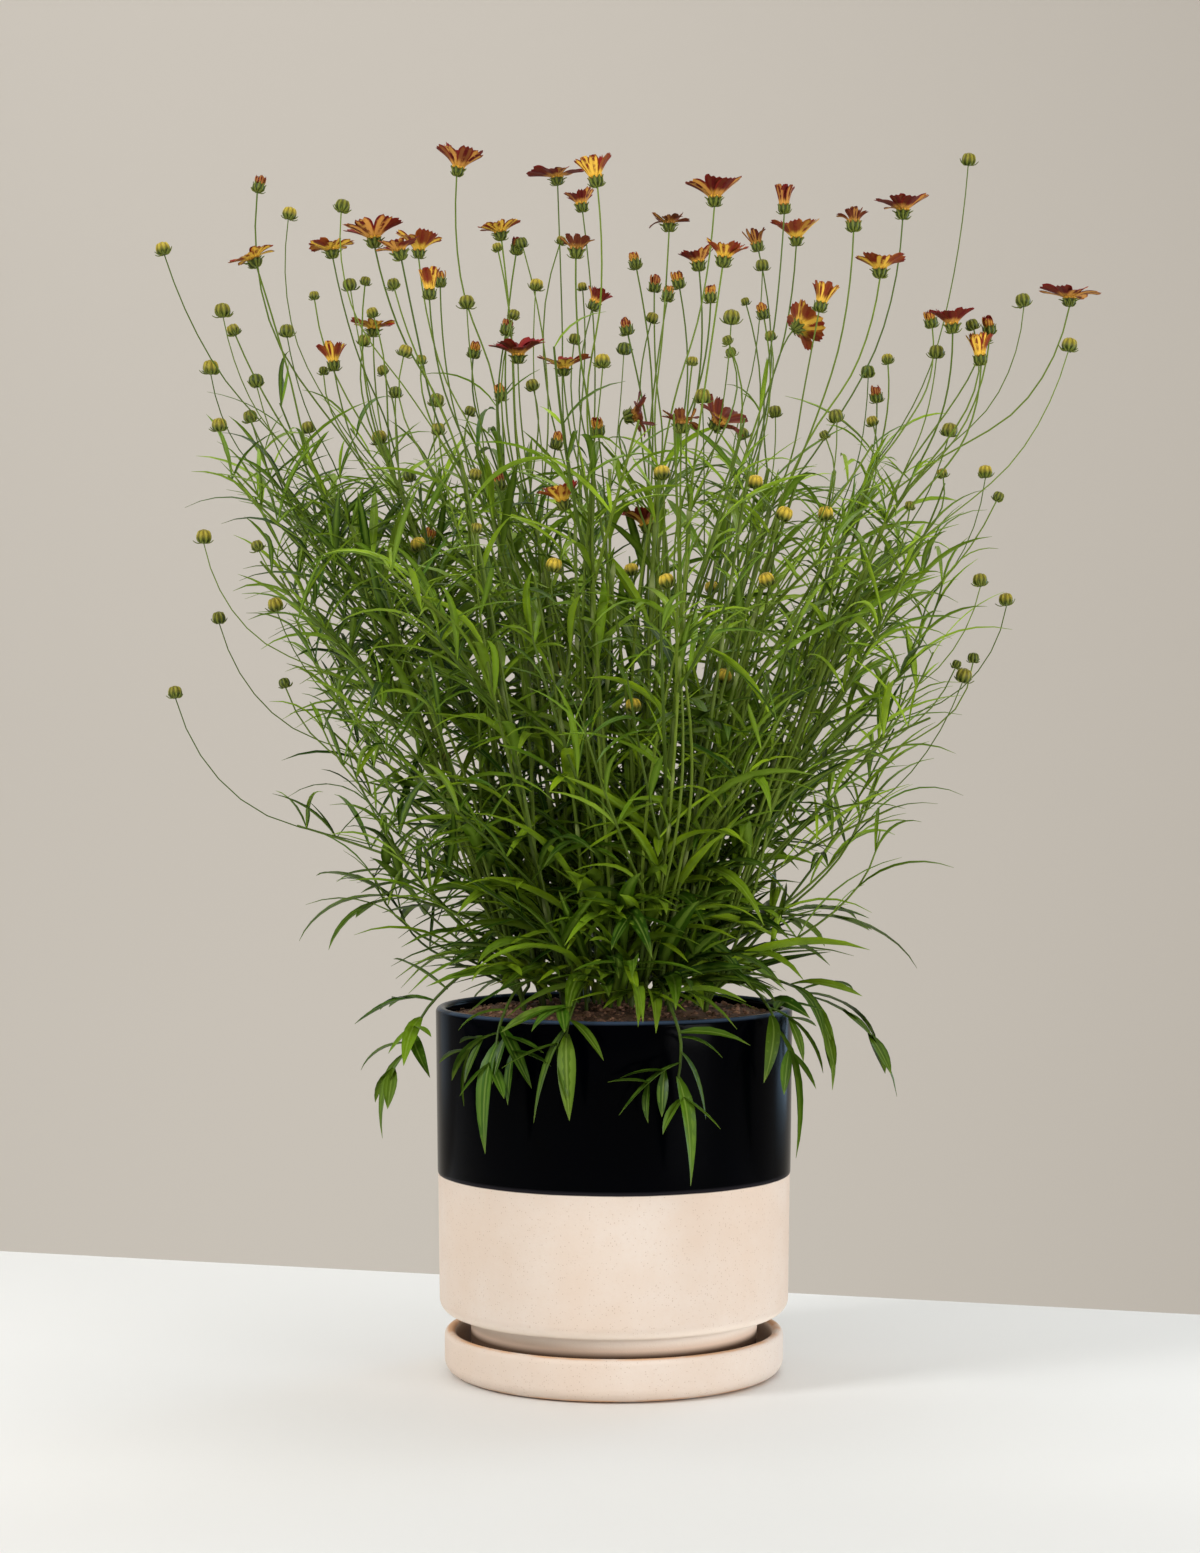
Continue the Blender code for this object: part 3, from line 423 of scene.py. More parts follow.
def speckled_clay(finish):
    """Pale bare clay: faint clouds, fine brown specks, and a dry matt skin."""
    clouds = finish.noise(16.0, 4.0, 0.6)
    fine = finish.noise(420.0, 3.0, 0.6)
    cells = {"Vector": finish.place(), "Scale": GRIT_SCALE}
    middle, lot = (finish.node("ShaderNodeTexVoronoi", None, cells, k) for k in (0, 1))
    specks = middle.step(0.34, 0.16) * finish.part_of(lot, 0).step(0.72, 0.86)
    clay = finish.mix(clouds.step(0.3, 0.75), CLAY_WARM, CLAY_PALE)
    clay = finish.mix(fine.step(0.45, 0.8) * 0.40, clay, CLAY_WARM)
    clay = finish.mix(specks * 0.42, clay, CLAY_BROWN)
    skin = 0.6 * fine + 0.25 * clouds - 0.4 * specks
    return clay, skin


coat = Finish("black_glaze_and_clay", GLAZE_DARK, 0.12, 0.02)
height = coat.part_of(coat.place(), 2)
ripple = coat.noise(14.0, 2.0) * (0.7 * MM) + coat.noise(90.0, 2.0) * (0.25 * MM)
glazed = (height + ripple).step(GLAZE_LINE_Z + 0.1 * MM, GLAZE_LINE_Z + 0.75 * MM)
clay, skin = speckled_clay(coat)
# Painted light under the shoulder and painted shade lower down on the foot, above the saucer.
for begins, full, share, tint in FOOT_LIGHT_AND_SHADE:
    clay = coat.mix(height.step(begins, full) * share, clay, tint)
line_edge = (height + ripple - (GLAZE_LINE_Z + 1.4 * MM)).size().step(1.8 * MM, 0.0)
# Painted highlight: a pale blue band along the top of the rim.
rim = height.step(POT_RIM_Z - 2.2 * MM, POT_RIM_Z - 0.4 * MM)
depth = coat.mix(coat.noise(9.0, 3.0).step(0.4, 0.75) * 0.7, GLAZE_DARK, GLAZE_BLUE)
depth = coat.mix(line_edge * 0.6, depth, GLAZE_THIN)
depth = coat.mix(rim * 0.75, depth, GLAZE_RIM_HIGHLIGHT)
both = coat.mix(glazed, clay, depth)
gloss = 0.14 + coat.noise(60.0, 3.0) * 0.07
matt = 0.78 + skin * 0.12
roughness = matt + (gloss - matt) * glazed
grain = skin * (1 - glazed) + coat.noise(22.0, 2.0) * glazed * 0.5
coat.cover(both, roughness, grain, 0.0004, 0.45)
pot.data.materials.append(coat.material)
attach(pot, "root")
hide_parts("pot")

# ---------------------------------------------------------------------------------------------
# The saucer: the same bare clay, a shallow dish with a thick upright wall, rounded at its rim
# and at its lower corner. The pot's foot stands inside it with a finger's width to spare.

SAUCER_RADIUS = 95.5 * MM
SAUCER_RIM_Z = 24 * MM
SAUCER_WALL = 6.5 * MM
SAUCER_CORNER = 8 * MM
SAUCER_INNER_CORNER = 2.5 * MM
MIDWAY = 40 * MM

lip = SAUCER_WALL / 2
inner = SAUCER_RADIUS - SAUCER_WALL
turn_in = inner - SAUCER_INNER_CORNER
profile = [(0, SAUCER_FLOOR), (MIDWAY, SAUCER_FLOOR), (turn_in, SAUCER_FLOOR)]
corner_z = SAUCER_FLOOR + SAUCER_INNER_CORNER
profile += arc(turn_in, corner_z, SAUCER_INNER_CORNER, -70, -10, 4)
profile += spaced((inner, SAUCER_FLOOR + 3 * MM), (inner, SAUCER_RIM_Z - lip), 2)
profile += arc(SAUCER_RADIUS - lip, SAUCER_RIM_Z - lip, lip, 180, 0, 11)
profile += arc(SAUCER_RADIUS - SAUCER_CORNER, SAUCER_CORNER, SAUCER_CORNER, 0, -84, 9)
profile += [(SAUCER_RADIUS - SAUCER_CORNER - 2 * MM, 0.0), (MIDWAY, 0.0), (0, 0)]
saucer = turned("clay_saucer", profile, False, 0.0008)

bare = Finish("bare_clay", CLAY_PALE, 0.8)
clay, skin = speckled_clay(bare)
height = bare.part_of(bare.place(), 2)
flat = bare.place((1.0, 1.0, 0.0))
out = bare.node("ShaderNodeVectorMath", {"operation": "LENGTH"}, {0: flat}, 1)
# Painted shade: the saucer's inner wall and floor, in the narrow ring round the pot's foot, are
# darkened towards brown.
recess_shade = out.step(inner + 1.6 * MM, inner - 0.4 * MM) * height.step(24 * MM, 17 * MM)
clay = bare.mix(recess_shade * 0.5, clay, CLAY_BROWN)
rim_out = out.step(SAUCER_RADIUS - 0.8 * MM, SAUCER_RADIUS - 2.4 * MM)
rim = height.step(22.2 * MM, 23.4 * MM) * rim_out
heel = height.step(2.6 * MM, 0.6 * MM)
clay = bare.mix((rim + heel) * bare.noise(60.0, 3.0).step(0.25, 0.6) * 0.8, clay, CLAY_TOAST_AND_SHADE)
bare.cover(clay, 0.78 + skin * 0.12, skin, 0.0004, 0.45)
saucer.data.materials.append(bare.material)
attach(saucer, "root")
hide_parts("saucer")

# ---------------------------------------------------------------------------------------------
# The soil: brown-red potting mix, mounded a little towards the crown of the plant, with a
# crumbled surface and loose crumbs and bits of bark lying on it.

SOIL_EDGE_Z = 200.5 * MM
SOIL_CROWN_Z = 207 * MM
SOIL_LOW_Z = 50 * MM
SOIL_SINK = 0.6 * MM
SOIL_RINGS = 44
SOIL_SPOKES = 160
SOIL_DARK = (0.085, 0.040, 0.022)
SOIL_RED = (0.27, 0.135, 0.080)
SOIL_DUST = (0.42, 0.25, 0.16)


def soil_height(distance):
    """The surface of the soil, mounded towards the crown."""
    share = min(distance / pot_inner_radius(SOIL_EDGE_Z), 1.0)
    return SOIL_EDGE_Z + (SOIL_CROWN_Z - SOIL_EDGE_Z) * (1 - share * share)


def lump(x, y):
    """Height of the crumbled surface above the smooth mound: a few crossed waves."""
    wave = math.sin(x * 310 + 2.1 * math.sin(y * 190)) * math.sin(y * 270 + 1.7)
    wave += 0.6 * math.sin(x * 690 + y * 480) * math.sin(y * 820 - x * 150)
    wave += 0.5 * math.sin(x * 1500 + 1.0) * math.sin(y * 1370 + 2.0 + x * 400)
    return 0.7 * MM * wave


edge = pot_inner_radius(SOIL_EDGE_Z) - GAP
spokes = range(SOIL_SPOKES)
spoke_angles = [math.tau * spoke / SOIL_SPOKES for spoke in spokes]
points = []
for ring in range(1, SOIL_RINGS + 1):
    radius = edge * ring / SOIL_RINGS
    calm = 1 - (ring / SOIL_RINGS) ** 12
    for angle in spoke_angles:
        x, y = radius * math.cos(angle), radius * math.sin(angle)
        points.append((x, y, soil_height(radius) - SOIL_SINK + lump(x, y) * calm))
crown = len(points)
points.append((0, 0, SOIL_CROWN_Z - SOIL_SINK))
base = foot_inside - GAP
low_rows = (
    (pot_inner_radius(SOIL_LOW_Z) - GAP, SOIL_LOW_Z),
    (base - 1 * MM, ledge + 3 * MM),
    (base - POT_INNER_CORNER / 2, floor + GAP),
)
for radius, z in low_rows:
    points += [(radius * math.cos(angle), radius * math.sin(angle), z) for angle in spoke_angles]
bottom = len(points)
points.append((0, 0, floor + GAP))
faces = []
rows = [SOIL_SPOKES * k for k in range(SOIL_RINGS)]
rows += [crown + 1 + SOIL_SPOKES * k for k in range(len(low_rows))]
for upper, lower in zip(rows[:-1], rows[1:]):
    for spoke in spokes:
        after = (spoke + 1) % SOIL_SPOKES
        faces.append((upper + after, upper + spoke, lower + spoke, lower + after))
for spoke in spokes:
    after = (spoke + 1) % SOIL_SPOKES
    faces.append((crown, spoke, after))
    faces.append((bottom, rows[-1] + after, rows[-1] + spoke))
mesh = bpy.data.meshes.new("potting_mix")
mesh.from_pydata(points, [], faces)
mesh.shade_smooth()
soil = added("potting_mix", mesh)

mix = Finish("potting_mix", (0.09, 0.045, 0.025), 0.95)
wet = mix.noise(60.0, 4.0, 0.7)
dust = mix.noise(700.0, 3.0, 0.7)
tint = mix.mix(wet.step(0.35, 0.7), SOIL_DARK, SOIL_RED)
tint = mix.mix(dust.step(0.55, 0.75) * 0.6, tint, SOIL_DUST)
mix.cover(tint, 0.85 + 0.15 * dust, dust + wet, 0.0006, 0.7)
soil.data.materials.append(mix.material)
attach(soil, "root")
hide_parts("soil")

# Loose crumbs and bits of bark: small lumps, each flattened and bent out of round.

CRUMB_COUNT = 900
CRUMB_SIZES = (0.7, 0.9, 1.1, 1.5, 2.1)
CRUMB_SPANS = ((0.7, 1.5), (0.6, 1.1), (0.4, 0.8))
CRUMB_REACH = 0.985
CRUMB_SINK = 0.3 * MM
CRUMB_DENT = 0.18
CRUMB_DARK = (0.09, 0.045, 0.026)
CRUMB_PALE = (0.38, 0.20, 0.12)

draw = random.Random(31)
build = bmesh.new()
for _ in range(CRUMB_COUNT):
    radius = edge * math.sqrt(draw.random()) * CRUMB_REACH
    angle = draw.uniform(0, math.tau)
    size = draw.choice(CRUMB_SIZES) * MM
    made = bmesh.ops.create_icosphere(build, subdivisions=1, radius=size)
    x, y = radius * math.cos(angle), radius * math.sin(angle)
    spans = [draw.uniform(low, high) for low, high in CRUMB_SPANS]
    squash = Matrix.Diagonal((*spans, 1))
    spin = Matrix.Rotation(draw.uniform(0, math.tau), 4, "Z")
    lift = Matrix.Translation((x, y, soil_height(radius) + lump(x, y) - CRUMB_SINK))
    bmesh.ops.transform(build, matrix=lift @ spin @ squash, verts=made["verts"])
    for vert in made["verts"]:
        vert.co += Vector([draw.uniform(-CRUMB_DENT, CRUMB_DENT) * size for _ in range(3)])
mesh = bpy.data.meshes.new("soil_crumbs")
build.to_mesh(mesh)
build.free()
crumbs = added("soil_crumbs", mesh)
crumb_mix = Finish("soil_crumbs", (0.12, 0.06, 0.035), 0.95)
patch = crumb_mix.noise(140.0, 2.0)
tint = crumb_mix.mix(patch.step(0.3, 0.7), CRUMB_DARK, CRUMB_PALE)
crumb_mix.cover(tint, 0.85 + 0.15 * patch, crumb_mix.noise(1500.0, 2.0), 0.0003, 0.6)
crumbs.data.materials.append(crumb_mix.material)
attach(crumbs, "root")

# ---------------------------------------------------------------------------------------------
# How the clump grows. Twenty leafy stems leave the soil in a sunflower spiral and fan out; each
# bloom, opening head and bud has its place, and its stalk forks off the nearest stem. The rule
# is the one the solids were grown by, so the fine pieces below lie where the solids lie.

CLEAR = 0.45 * MM
WELD = 0.00001
PLANTING_DEPTH = 24 * MM
STEM_COUNT = 20
CLUMP_RADIUS = 57 * MM
CLUMP_DEPTH_SHARE = 0.92
STEM_RADIUS = 2.3 * MM
STEM_TIP_RADIUS = 1.8 * MM
STEM_SPREAD = 0.30
STEM_FLARE = 0.36
STEM_HEIGHT = 0.295
STEM_SWAY = 5 * MM
STEM_SWAY_TURN = 14
STEM_SWAY_FULL = 0.1
GOLDEN_ANGLE = math.radians(137.508)
LEAF_STEP = 66 * MM
LEAF_TRIES = 14
LEAF_THICKNESS = 0.9 * MM
LEAF_ROOT = 1.7 * MM
LOW_LEAF = 98 * MM
TOP_LEAF = 55 * MM
LOW_LEAF_WIDTH = 9 * MM
TOP_LEAF_WIDTH = 3.6 * MM
BUD_RADIUS = 4.4 * MM
CUP_RADIUS = 4.2 * MM
CUP_HEIGHT = 5.5 * MM
OPENING_HEIGHT = 10 * MM
DISC_RADIUS = 3.6 * MM
DISC_HEIGHT = 3.0 * MM
DISC_DOME = 1.2 * MM
RAY_FILL = 0.88
RAY_WIDEST = 9 * MM
RAY_THICKNESS = 0.9 * MM
SHUT_RAY_LENGTH = 11 * MM
SHUT_ANGLE = 60
STALK_RADIUS = 1.05 * MM
BUD_STALK_RADIUS = 0.9 * MM
RUNNER_RADIUS = 1.2 * MM
RUNNER_DROP = 14 * MM
FORK_SPREAD = 0.42
HEAD_TRIES = 60
# How much further off a stem counts for each head it carries already.
BUD_LOAD = 7 * MM
BLOOM_LOAD = 12 * MM
# How much wider than its tube a six-sided sleeve is for the room test.
SLEEVE_EASE = 1.1

# Blooms: across, up, span and ray angle above flat; lean to the right and nod to the front; tone.
BLOOMS = (
    (-88, 672, 30, 40, 12, 0, "red"),
    (-31, 667, 37, 10, -5, 0, "red"),
    (-10, 666, 20, 56, -12, 0, "gold"),
    (-17, 652, 20, 45, -8, 0, "red"),
    (-22, 626, 20, 35, 4, 0, "spent"),
    (-201, 621, 27, 12, -22, 0, "gold"),
    (-158, 626, 27, 12, -6, 0, "gold"),
    (-135, 632, 33, 24, -6, 0, "red"),
    (-120, 625, 24, 26, -14, 0, "red"),
    (-109, 626, 30, 38, 2, 0, "gold"),
    (-135, 582, 28, 16, 0, 0, "gold"),
    (-104, 603, 13, 74, 0, 0, "gold"),
    (-63, 636, 27, 20, -10, 0, "gold"),
    (-54, 567, 35, 24, 0, 6, "red"),
    (-28, 560, 33, 20, 0, 4, "gold"),
    (-28, 485, 24, 40, -14, 4, "gold"),
    (19, 472, 28, 38, -10, 6, "red"),
    (5, 537, 26, 30, 80, 0, "spent"),
    (37, 528, 24, 18, 2, 0, "spent"),
    (55, 530, 32, 22, 30, 30, "spent"),
    (31, 641, 25, 12, 0, 0, "spent"),
    (56, 655, 33, 32, 0, 0, "red"),
    (48, 619, 22, 38, -6, 0, "red"),
    (60, 621, 22, 40, 8, 0, "gold"),
    (82, 630, 16, 60, -14, 0, "spent"),
    (96, 651, 13, 76, 0, 0, "red"),
    (103, 633, 31, 36, 0, 0, "gold"),
    (134, 641, 15, 56, 0, 0, "spent"),
    (162, 648, 33, 20, 0, 0, "red"),
    (149, 615, 28, 26, 0, 0, "gold"),
    (101, 586, 32, 20, 45, -50, "gold"),
    (115, 596, 14, 66, 14, 0, "gold"),
    (190, 584, 25, 34, -4, 0, "red"),
    (206, 566, 14, 70, -6, 0, "gold"),
    (256, 599, 35, 12, 0, 0, "red"),
    (-157, 563, 15, 62, -6, 0, "gold"),
    (-12, 597, 16, 60, 25, 0, "red"),
)
# Heads just opening, too small for a bloom of their own: across and up.
OPENING = (
    (23, 607), (30, 602), (37, 609), (211, 583), (179, 587), (-55, 628), (54, 601), (13, 620),
    (-63, 546), (-9, 526), (-33, 519), (-64, 496), (148, 545), (-105, 465), (8, 583), (85, 592),
    (-97, 610), (-79, 570), (-61, 583), (-200, 663),
)  # fmt: skip
BUDS = (
    (-253, 628), (-183, 648), (-154, 652), (-148, 608), (-220, 593), (-184, 582), (-227, 561),
    (-201, 554), (-101, 543), (-44, 608), (-83, 598), (-7, 565), (6, 572), (65, 589), (84, 619),
    (49, 545), (91, 537), (143, 559), (181, 570), (230, 599), (255, 574), (199, 678), (-222, 529),
    (-204, 534), (-171, 528), (-131, 522), (-114, 501), (10, 448), (79, 497), (119, 479),
    (56, 438), (-231, 466), (-222, 421), (-190, 428), (-247, 379), (-31, 394), (206, 442),
    (221, 431), (196, 388), (125, 534), (188, 526), (209, 503),
)  # fmt: skip

# Sprays low on the clump that hang over the rim: the points of each runner in millimetres, then
# for each leaf the runner point it grows from, its tip and its width.
SPRAYS = (
    (
        ((-50, -22, 226), (-78, -36, 229), (-98, -44, 214), (-109, -48, 198), (-115, -50, 182)),
        ((1.7, (-121, -52, 236), 7), (2.1, (-130, -30, 206), 8), (3.5, (-139, -52, 175), 7),
         (3.85, (-127, -56, 138), 9), (3.2, (-100, -72, 173), 7)),
    ),
    (
        ((-30, -46, 226), (-50, -72, 224), (-60, -90, 208), (-63, -99, 192)),
        ((2.5, (-88, -76, 172), 9), (2.8, (-69, -104, 136), 10), (2.3, (-44, -114, 172), 8),
         (1.8, (-84, -84, 200), 7)),
    ),
    (
        ((-8, -50, 226), (-17, -84, 224), (-23, -106, 212), (-26, -113, 198)),
        ((2.8, (-24, -122, 156), 9), (2.5, (-43, -116, 154), 9), (2.3, (-6, -124, 188), 7),
         (1.8, (-44, -122, 203), 8)),
    ),
    (
        ((20, -44, 224), (26, -80, 223), (31, -106, 211), (35, -112, 196), (33, -113, 175)),
        ((2.8, (57, -112, 188), 7), (3.5, (2, -116, 158), 9), (3.85, (40, -118, 121), 10),
         (3.2, (48, -116, 156), 7)),
    ),
    (
        ((48, -30, 226), (70, -50, 224), (83, -64, 212), (88, -68, 198)),
        ((2.8, (99, -62, 128), 8), (2.4, (80, -88, 172), 7), (2.1, (114, -58, 174), 8)),
    ),
    (
        ((52, -4, 222), (78, -2, 224), (100, 2, 217), (112, 4, 210)),
        ((2.4, (134, -12, 216), 7), (2.85, (160, 2, 154), 9), (2.6, (150, 16, 182), 8),
         (2.2, (122, -18, 160), 8), (1.7, (116, -32, 190), 7)),
    ),
    (
        ((-54, 8, 240), (-90, 10, 258), (-118, 10, 266), (-132, 8, 268)),
        ((2.8, (-178, 4, 242), 10), (2.1, (-160, -12, 238), 8), (2.5, (-170, 24, 278), 9),
         (1.7, (-136, -18, 290), 8), (1.3, (-122, 40, 250), 8)),
    ),
    (
        ((50, 12, 240), (80, 14, 254), (104, 14, 256)),
        ((1.8, (172, 10, 226), 9), (1.5, (140, 38, 252), 8), (1.2, (118, -12, 240), 8)),
    ),
    (
        ((-20, 46, 224), (-28, 80, 224), (-34, 106, 210), (-38, 114, 192)),
        ((2.4, (-60, 112, 160), 9), (2.8, (-32, 124, 144), 9), (2.1, (-8, 122, 180), 8)),
    ),
    (
        ((26, 42, 224), (44, 72, 226), (56, 96, 213), (62, 103, 198)),
        ((2.8, (70, 112, 150), 9), (2.4, (92, 92, 172), 8), (2.1, (36, 120, 176), 8)),
    ),
)  # fmt: skip


def blade_mesh(points, side, widths, thickness, keel):
    """A blade lofted along points to a sharp tip: flat above, ridged along its keel below."""
    verts = []
    faces = [(2, 1, 0)]
    for point, width in zip(points[:-1], widths):
        verts += [point - side * width / 2, point + keel * thickness, point + side * width / 2]
    for k in range(len(points) - 2):
        a = 3 * k
        for near, far in ((0, 1), (1, 2), (2, 0)):
            faces.append((a + near, a + far, a + 3 + far))
            faces.append((a + near, a + 3 + far, a + 3 + near))
    a = 3 * (len(points) - 2)
    tip = len(verts)
    verts.append(points[-1])
    faces += [(a, a + 1, tip), (a + 1, a + 2, tip), (a + 2, a, tip)]
    return verts, faces


class Room:
    """The shapes that stand already, so that a new one can be kept clear of them."""

    def __init__(self):
        self.trees = []
        self.lows = []
        self.highs = []
        self.tags = []

    def add(self, shape, tag):
        """Keeps the shape and the box it lies in under the tag."""
        verts, faces = shape
        points = np.array([tuple(v) for v in verts])
        self.trees.append(BVHTree.FromPolygons([tuple(v) for v in verts], faces))
        self.lows.append(points.min(axis=0))
        self.highs.append(points.max(axis=0))
        self.tags.append(tag)

    def free(self, shape, ignored=()):
        """True where the shape crosses nothing, apart from pieces with an ignored tag."""
        verts, faces = shape
        points = np.array([tuple(v) for v in verts])
        near = np.all(np.array(self.lows) <= points.max(axis=0), axis=1)
        near &= np.all(np.array(self.highs) >= points.min(axis=0), axis=1)
        tree = BVHTree.FromPolygons([tuple(v) for v in verts], faces)
        for k in np.flatnonzero(near):
            if self.tags[k] not in ignored and self.trees[k].overlap(tree):
                return False
        return True


def across(direction):
    """Two unit vectors square to the direction, the first of them level."""
    level = direction.cross(Vector((0, 0, 1)))
    if level.length < 0.01:
        level = Vector((1, 0, 0))
    level.normalize()
    return level, level.cross(direction).normalized()


def tube_shape(points, radii, margin=0.0):
    """Vertices and faces of a six-sided sleeve round the tube, for the room test."""
    verts = []
    faces = []
    for k, (point, radius) in enumerate(zip(points, radii)):
        before = points[max(k - 1, 0)]
        after = points[min(k + 1, len(points) - 1)]
        level, up = across((after - before).normalized())
        for turn in range(6):
            angle = turn * math.tau / 6
            reach = (radius + margin) * SLEEVE_EASE
            verts.append(point + (level * math.cos(angle) + up * math.sin(angle)) * reach)
    for k in range(len(points) - 1):
        for turn in range(6):
            a = 6 * k + turn
            b = 6 * k + (turn + 1) % 6
            faces.append((a, b, b + 6, a + 6))
    faces.append(tuple(range(5, -1, -1)))
    faces.append(tuple(range(6 * len(points) - 6, 6 * len(points))))
    return verts, faces


def seen_from_front(across_mm, up_mm, depth):
    """The place at this depth that lines up, for an eye in front, with a place at depth 0."""
    scale = (EYE_DISTANCE + depth) / EYE_DISTANCE
    height = EYE_HEIGHT + (up_mm * MM - EYE_HEIGHT) * scale
    return Vector((across_mm * MM * scale, depth, height))


class Stem:
    """One stem of the clump, from its hole in the soil to the foot of its top stalk."""

    def __init__(self, number):
        self.number = number
        self.random = random.Random(100 + number)
        self.share = math.sqrt((number + 0.5) / STEM_COUNT)
        self.angle = number * GOLDEN_ANGLE + 0.4
        self.phase = self.random.uniform(0, math.tau)
        self.height = STEM_HEIGHT * self.random.uniform(0.88, 1.08)
        self.heads = []

    def at(self, rise):
        """The stem's axis at this height above the soil."""
        up = max(rise, 0)
        run = self.share * (CLUMP_RADIUS + up * (STEM_SPREAD + STEM_FLARE * up))
        sway = STEM_SWAY * math.sin(self.phase + rise * STEM_SWAY_TURN)
        sway *= min(up / STEM_SWAY_FULL, 1)
        x = run * math.cos(self.angle) - sway * math.sin(self.angle)
        y = run * math.sin(self.angle) * CLUMP_DEPTH_SHARE + sway * math.cos(self.angle)
        return Vector((x, y, soil_height(self.share * CLUMP_RADIUS) + rise))

    def rise_of(self, height):
        return height - soil_height(self.share * CLUMP_RADIUS)

    def tangent(self, rise):
        return (self.at(rise + 0.004) - self.at(rise - 0.004 if rise > 0.004 else 0)).normalized()

    def path(self):
        """Points and radii of the stem. Below ground it is straight and upright."""
        rises = [-PLANTING_DEPTH, 4 * MM] + [self.height * k / 4 for k in range(1, 5)]
        points = [self.at(0) + Vector((0, 0, rises[0])), self.at(0) + Vector((0, 0, rises[1]))]
        points += [self.at(rise) for rise in rises[2:]]
        thin = (STEM_RADIUS - STEM_TIP_RADIUS) / self.height
        return points, [STEM_RADIUS - thin * max(rise, 0) for rise in rises]


def head_axis(lean, nod):
    """The way a head faces: straight up, leant to the right and nodded to the front."""
    lean = math.radians(lean)
    nod = math.radians(nod)
    facing = Vector((math.sin(lean), -math.sin(nod) * math.cos(lean), 1))
    facing.z = math.cos(lean) * math.cos(nod)
    return facing.normalized()


def nearest_stem(stems, x_mm, up_mm, load):
    """The stem whose line passes nearest below the head, the least laden first."""

    def cost(stem):
        line = stem.at(stem.rise_of(up_mm * MM))
        return abs(line.x - x_mm * MM) + len(stem.heads) * load

    return min(stems, key=cost)


def stalk_path(stem, foot_rise, fork, tip, axis, count):
    """A smooth stalk that forks off the stem and arrives along the head's axis."""
    start = stem.at(foot_rise)
    reach = (tip - start).length
    hold = 0.4 if axis.z > 0.7 else 0.14
    tangent = stem.tangent(foot_rise)
    level, up = across(tangent)
    aside = (level * math.cos(fork) + up * math.sin(fork)) * FORK_SPREAD
    aim = (tip - start).normalized()
    along = max(aim.dot(tangent), 0.0) ** 3
    heading = tangent * 0.7 * along + aim * (1 - 0.7 * along) + aside * along
    leave = start + heading.normalized() * reach * 0.3
    arrive = tip - axis * reach * hold
    points = []
    for k in range(count):
        t = k / (count - 1)
        u = 1 - t
        points.append(start * u**3 + leave * 3 * u * u * t + arrive * 3 * u * t * t + tip * t**3)
    return points


def bloom_shape(base, axis, span, opening, count, margin):
    """A disc that stands on base, with a ray extruded in two lengths from each of its sides.

    The margin swells the whole bloom, for the room test.
    """
    length = SHUT_RAY_LENGTH
    if opening < SHUT_ANGLE:
        length = (span * MM / 2 - DISC_RADIUS) / math.cos(math.radians(opening))
    edge = DISC_RADIUS * math.cos(math.pi / count)
    reach = edge + 0.6 * length * math.cos(math.radians(opening + 6)) - RAY_THICKNESS / 2
    width = min(RAY_FILL * 2 * reach * math.tan(math.pi / count), RAY_WIDEST)
    build = bmesh.new()
    bmesh.ops.create_cone(
        build,
        cap_ends=True,
        segments=count,
        radius1=DISC_RADIUS,
        radius2=DISC_RADIUS,
        depth=DISC_HEIGHT,
    )
    build.normal_update()
    roots = [face for face in build.faces if abs(face.normal.z) < 0.5]
    crown = [face for face in build.faces if face.normal.z > 0.5]
    domed = bmesh.ops.poke(build, faces=crown)
    bmesh.ops.translate(build, vec=(0, 0, DISC_DOME), verts=domed["verts"])
    for root in roots:
        outward = root.normal.copy()
        side = Vector((0, 0, 1)).cross(outward)
        face = root
        place = face.calc_center_median()
        for share, pitch, wide in ((0.6, opening + 6, 1.0), (0.4, opening - 16, 0.55)):
            slope = math.radians(pitch)
            along = outward * math.cos(slope) + Vector((0, 0, math.sin(slope)))
            thick = along.cross(side) * (RAY_THICKNESS + margin) / 2
            place = place + along * (length * share + margin / 2)
            half = side * (width * wide + margin) / 2
            face = bmesh.ops.extrude_discrete_faces(build, faces=[face])["faces"][0]
            middle = face.calc_center_median()
            for vert in face.verts:
                offset = vert.co - middle
                vert.co = place + half * math.copysign(1, offset.dot(side))
                if wide == 1.0:
                    vert.co += thick * math.copysign(1, offset.z)
    bmesh.ops.remove_doubles(build, verts=build.verts, dist=WELD)
    turn = Vector((0, 0, 1)).rotation_difference(axis).to_matrix().to_4x4()
    move = Matrix.Translation(base + axis * DISC_HEIGHT / 2)
    bmesh.ops.transform(build, matrix=move @ turn, verts=build.verts)
    bmesh.ops.triangulate(build, faces=build.faces)
    build.verts.index_update()
    verts = [vert.co.copy() for vert in build.verts]
    faces = [tuple(vert.index for vert in face.verts) for face in build.faces]
    build.free()
    return verts, faces


def merged(shapes):
    """Several shapes as one."""
    verts = []
    faces = []
    for more_verts, more_faces in shapes:
        start = len(verts)
        verts += more_verts
        faces += [tuple(start + i for i in face) for face in more_faces]
    return verts, faces


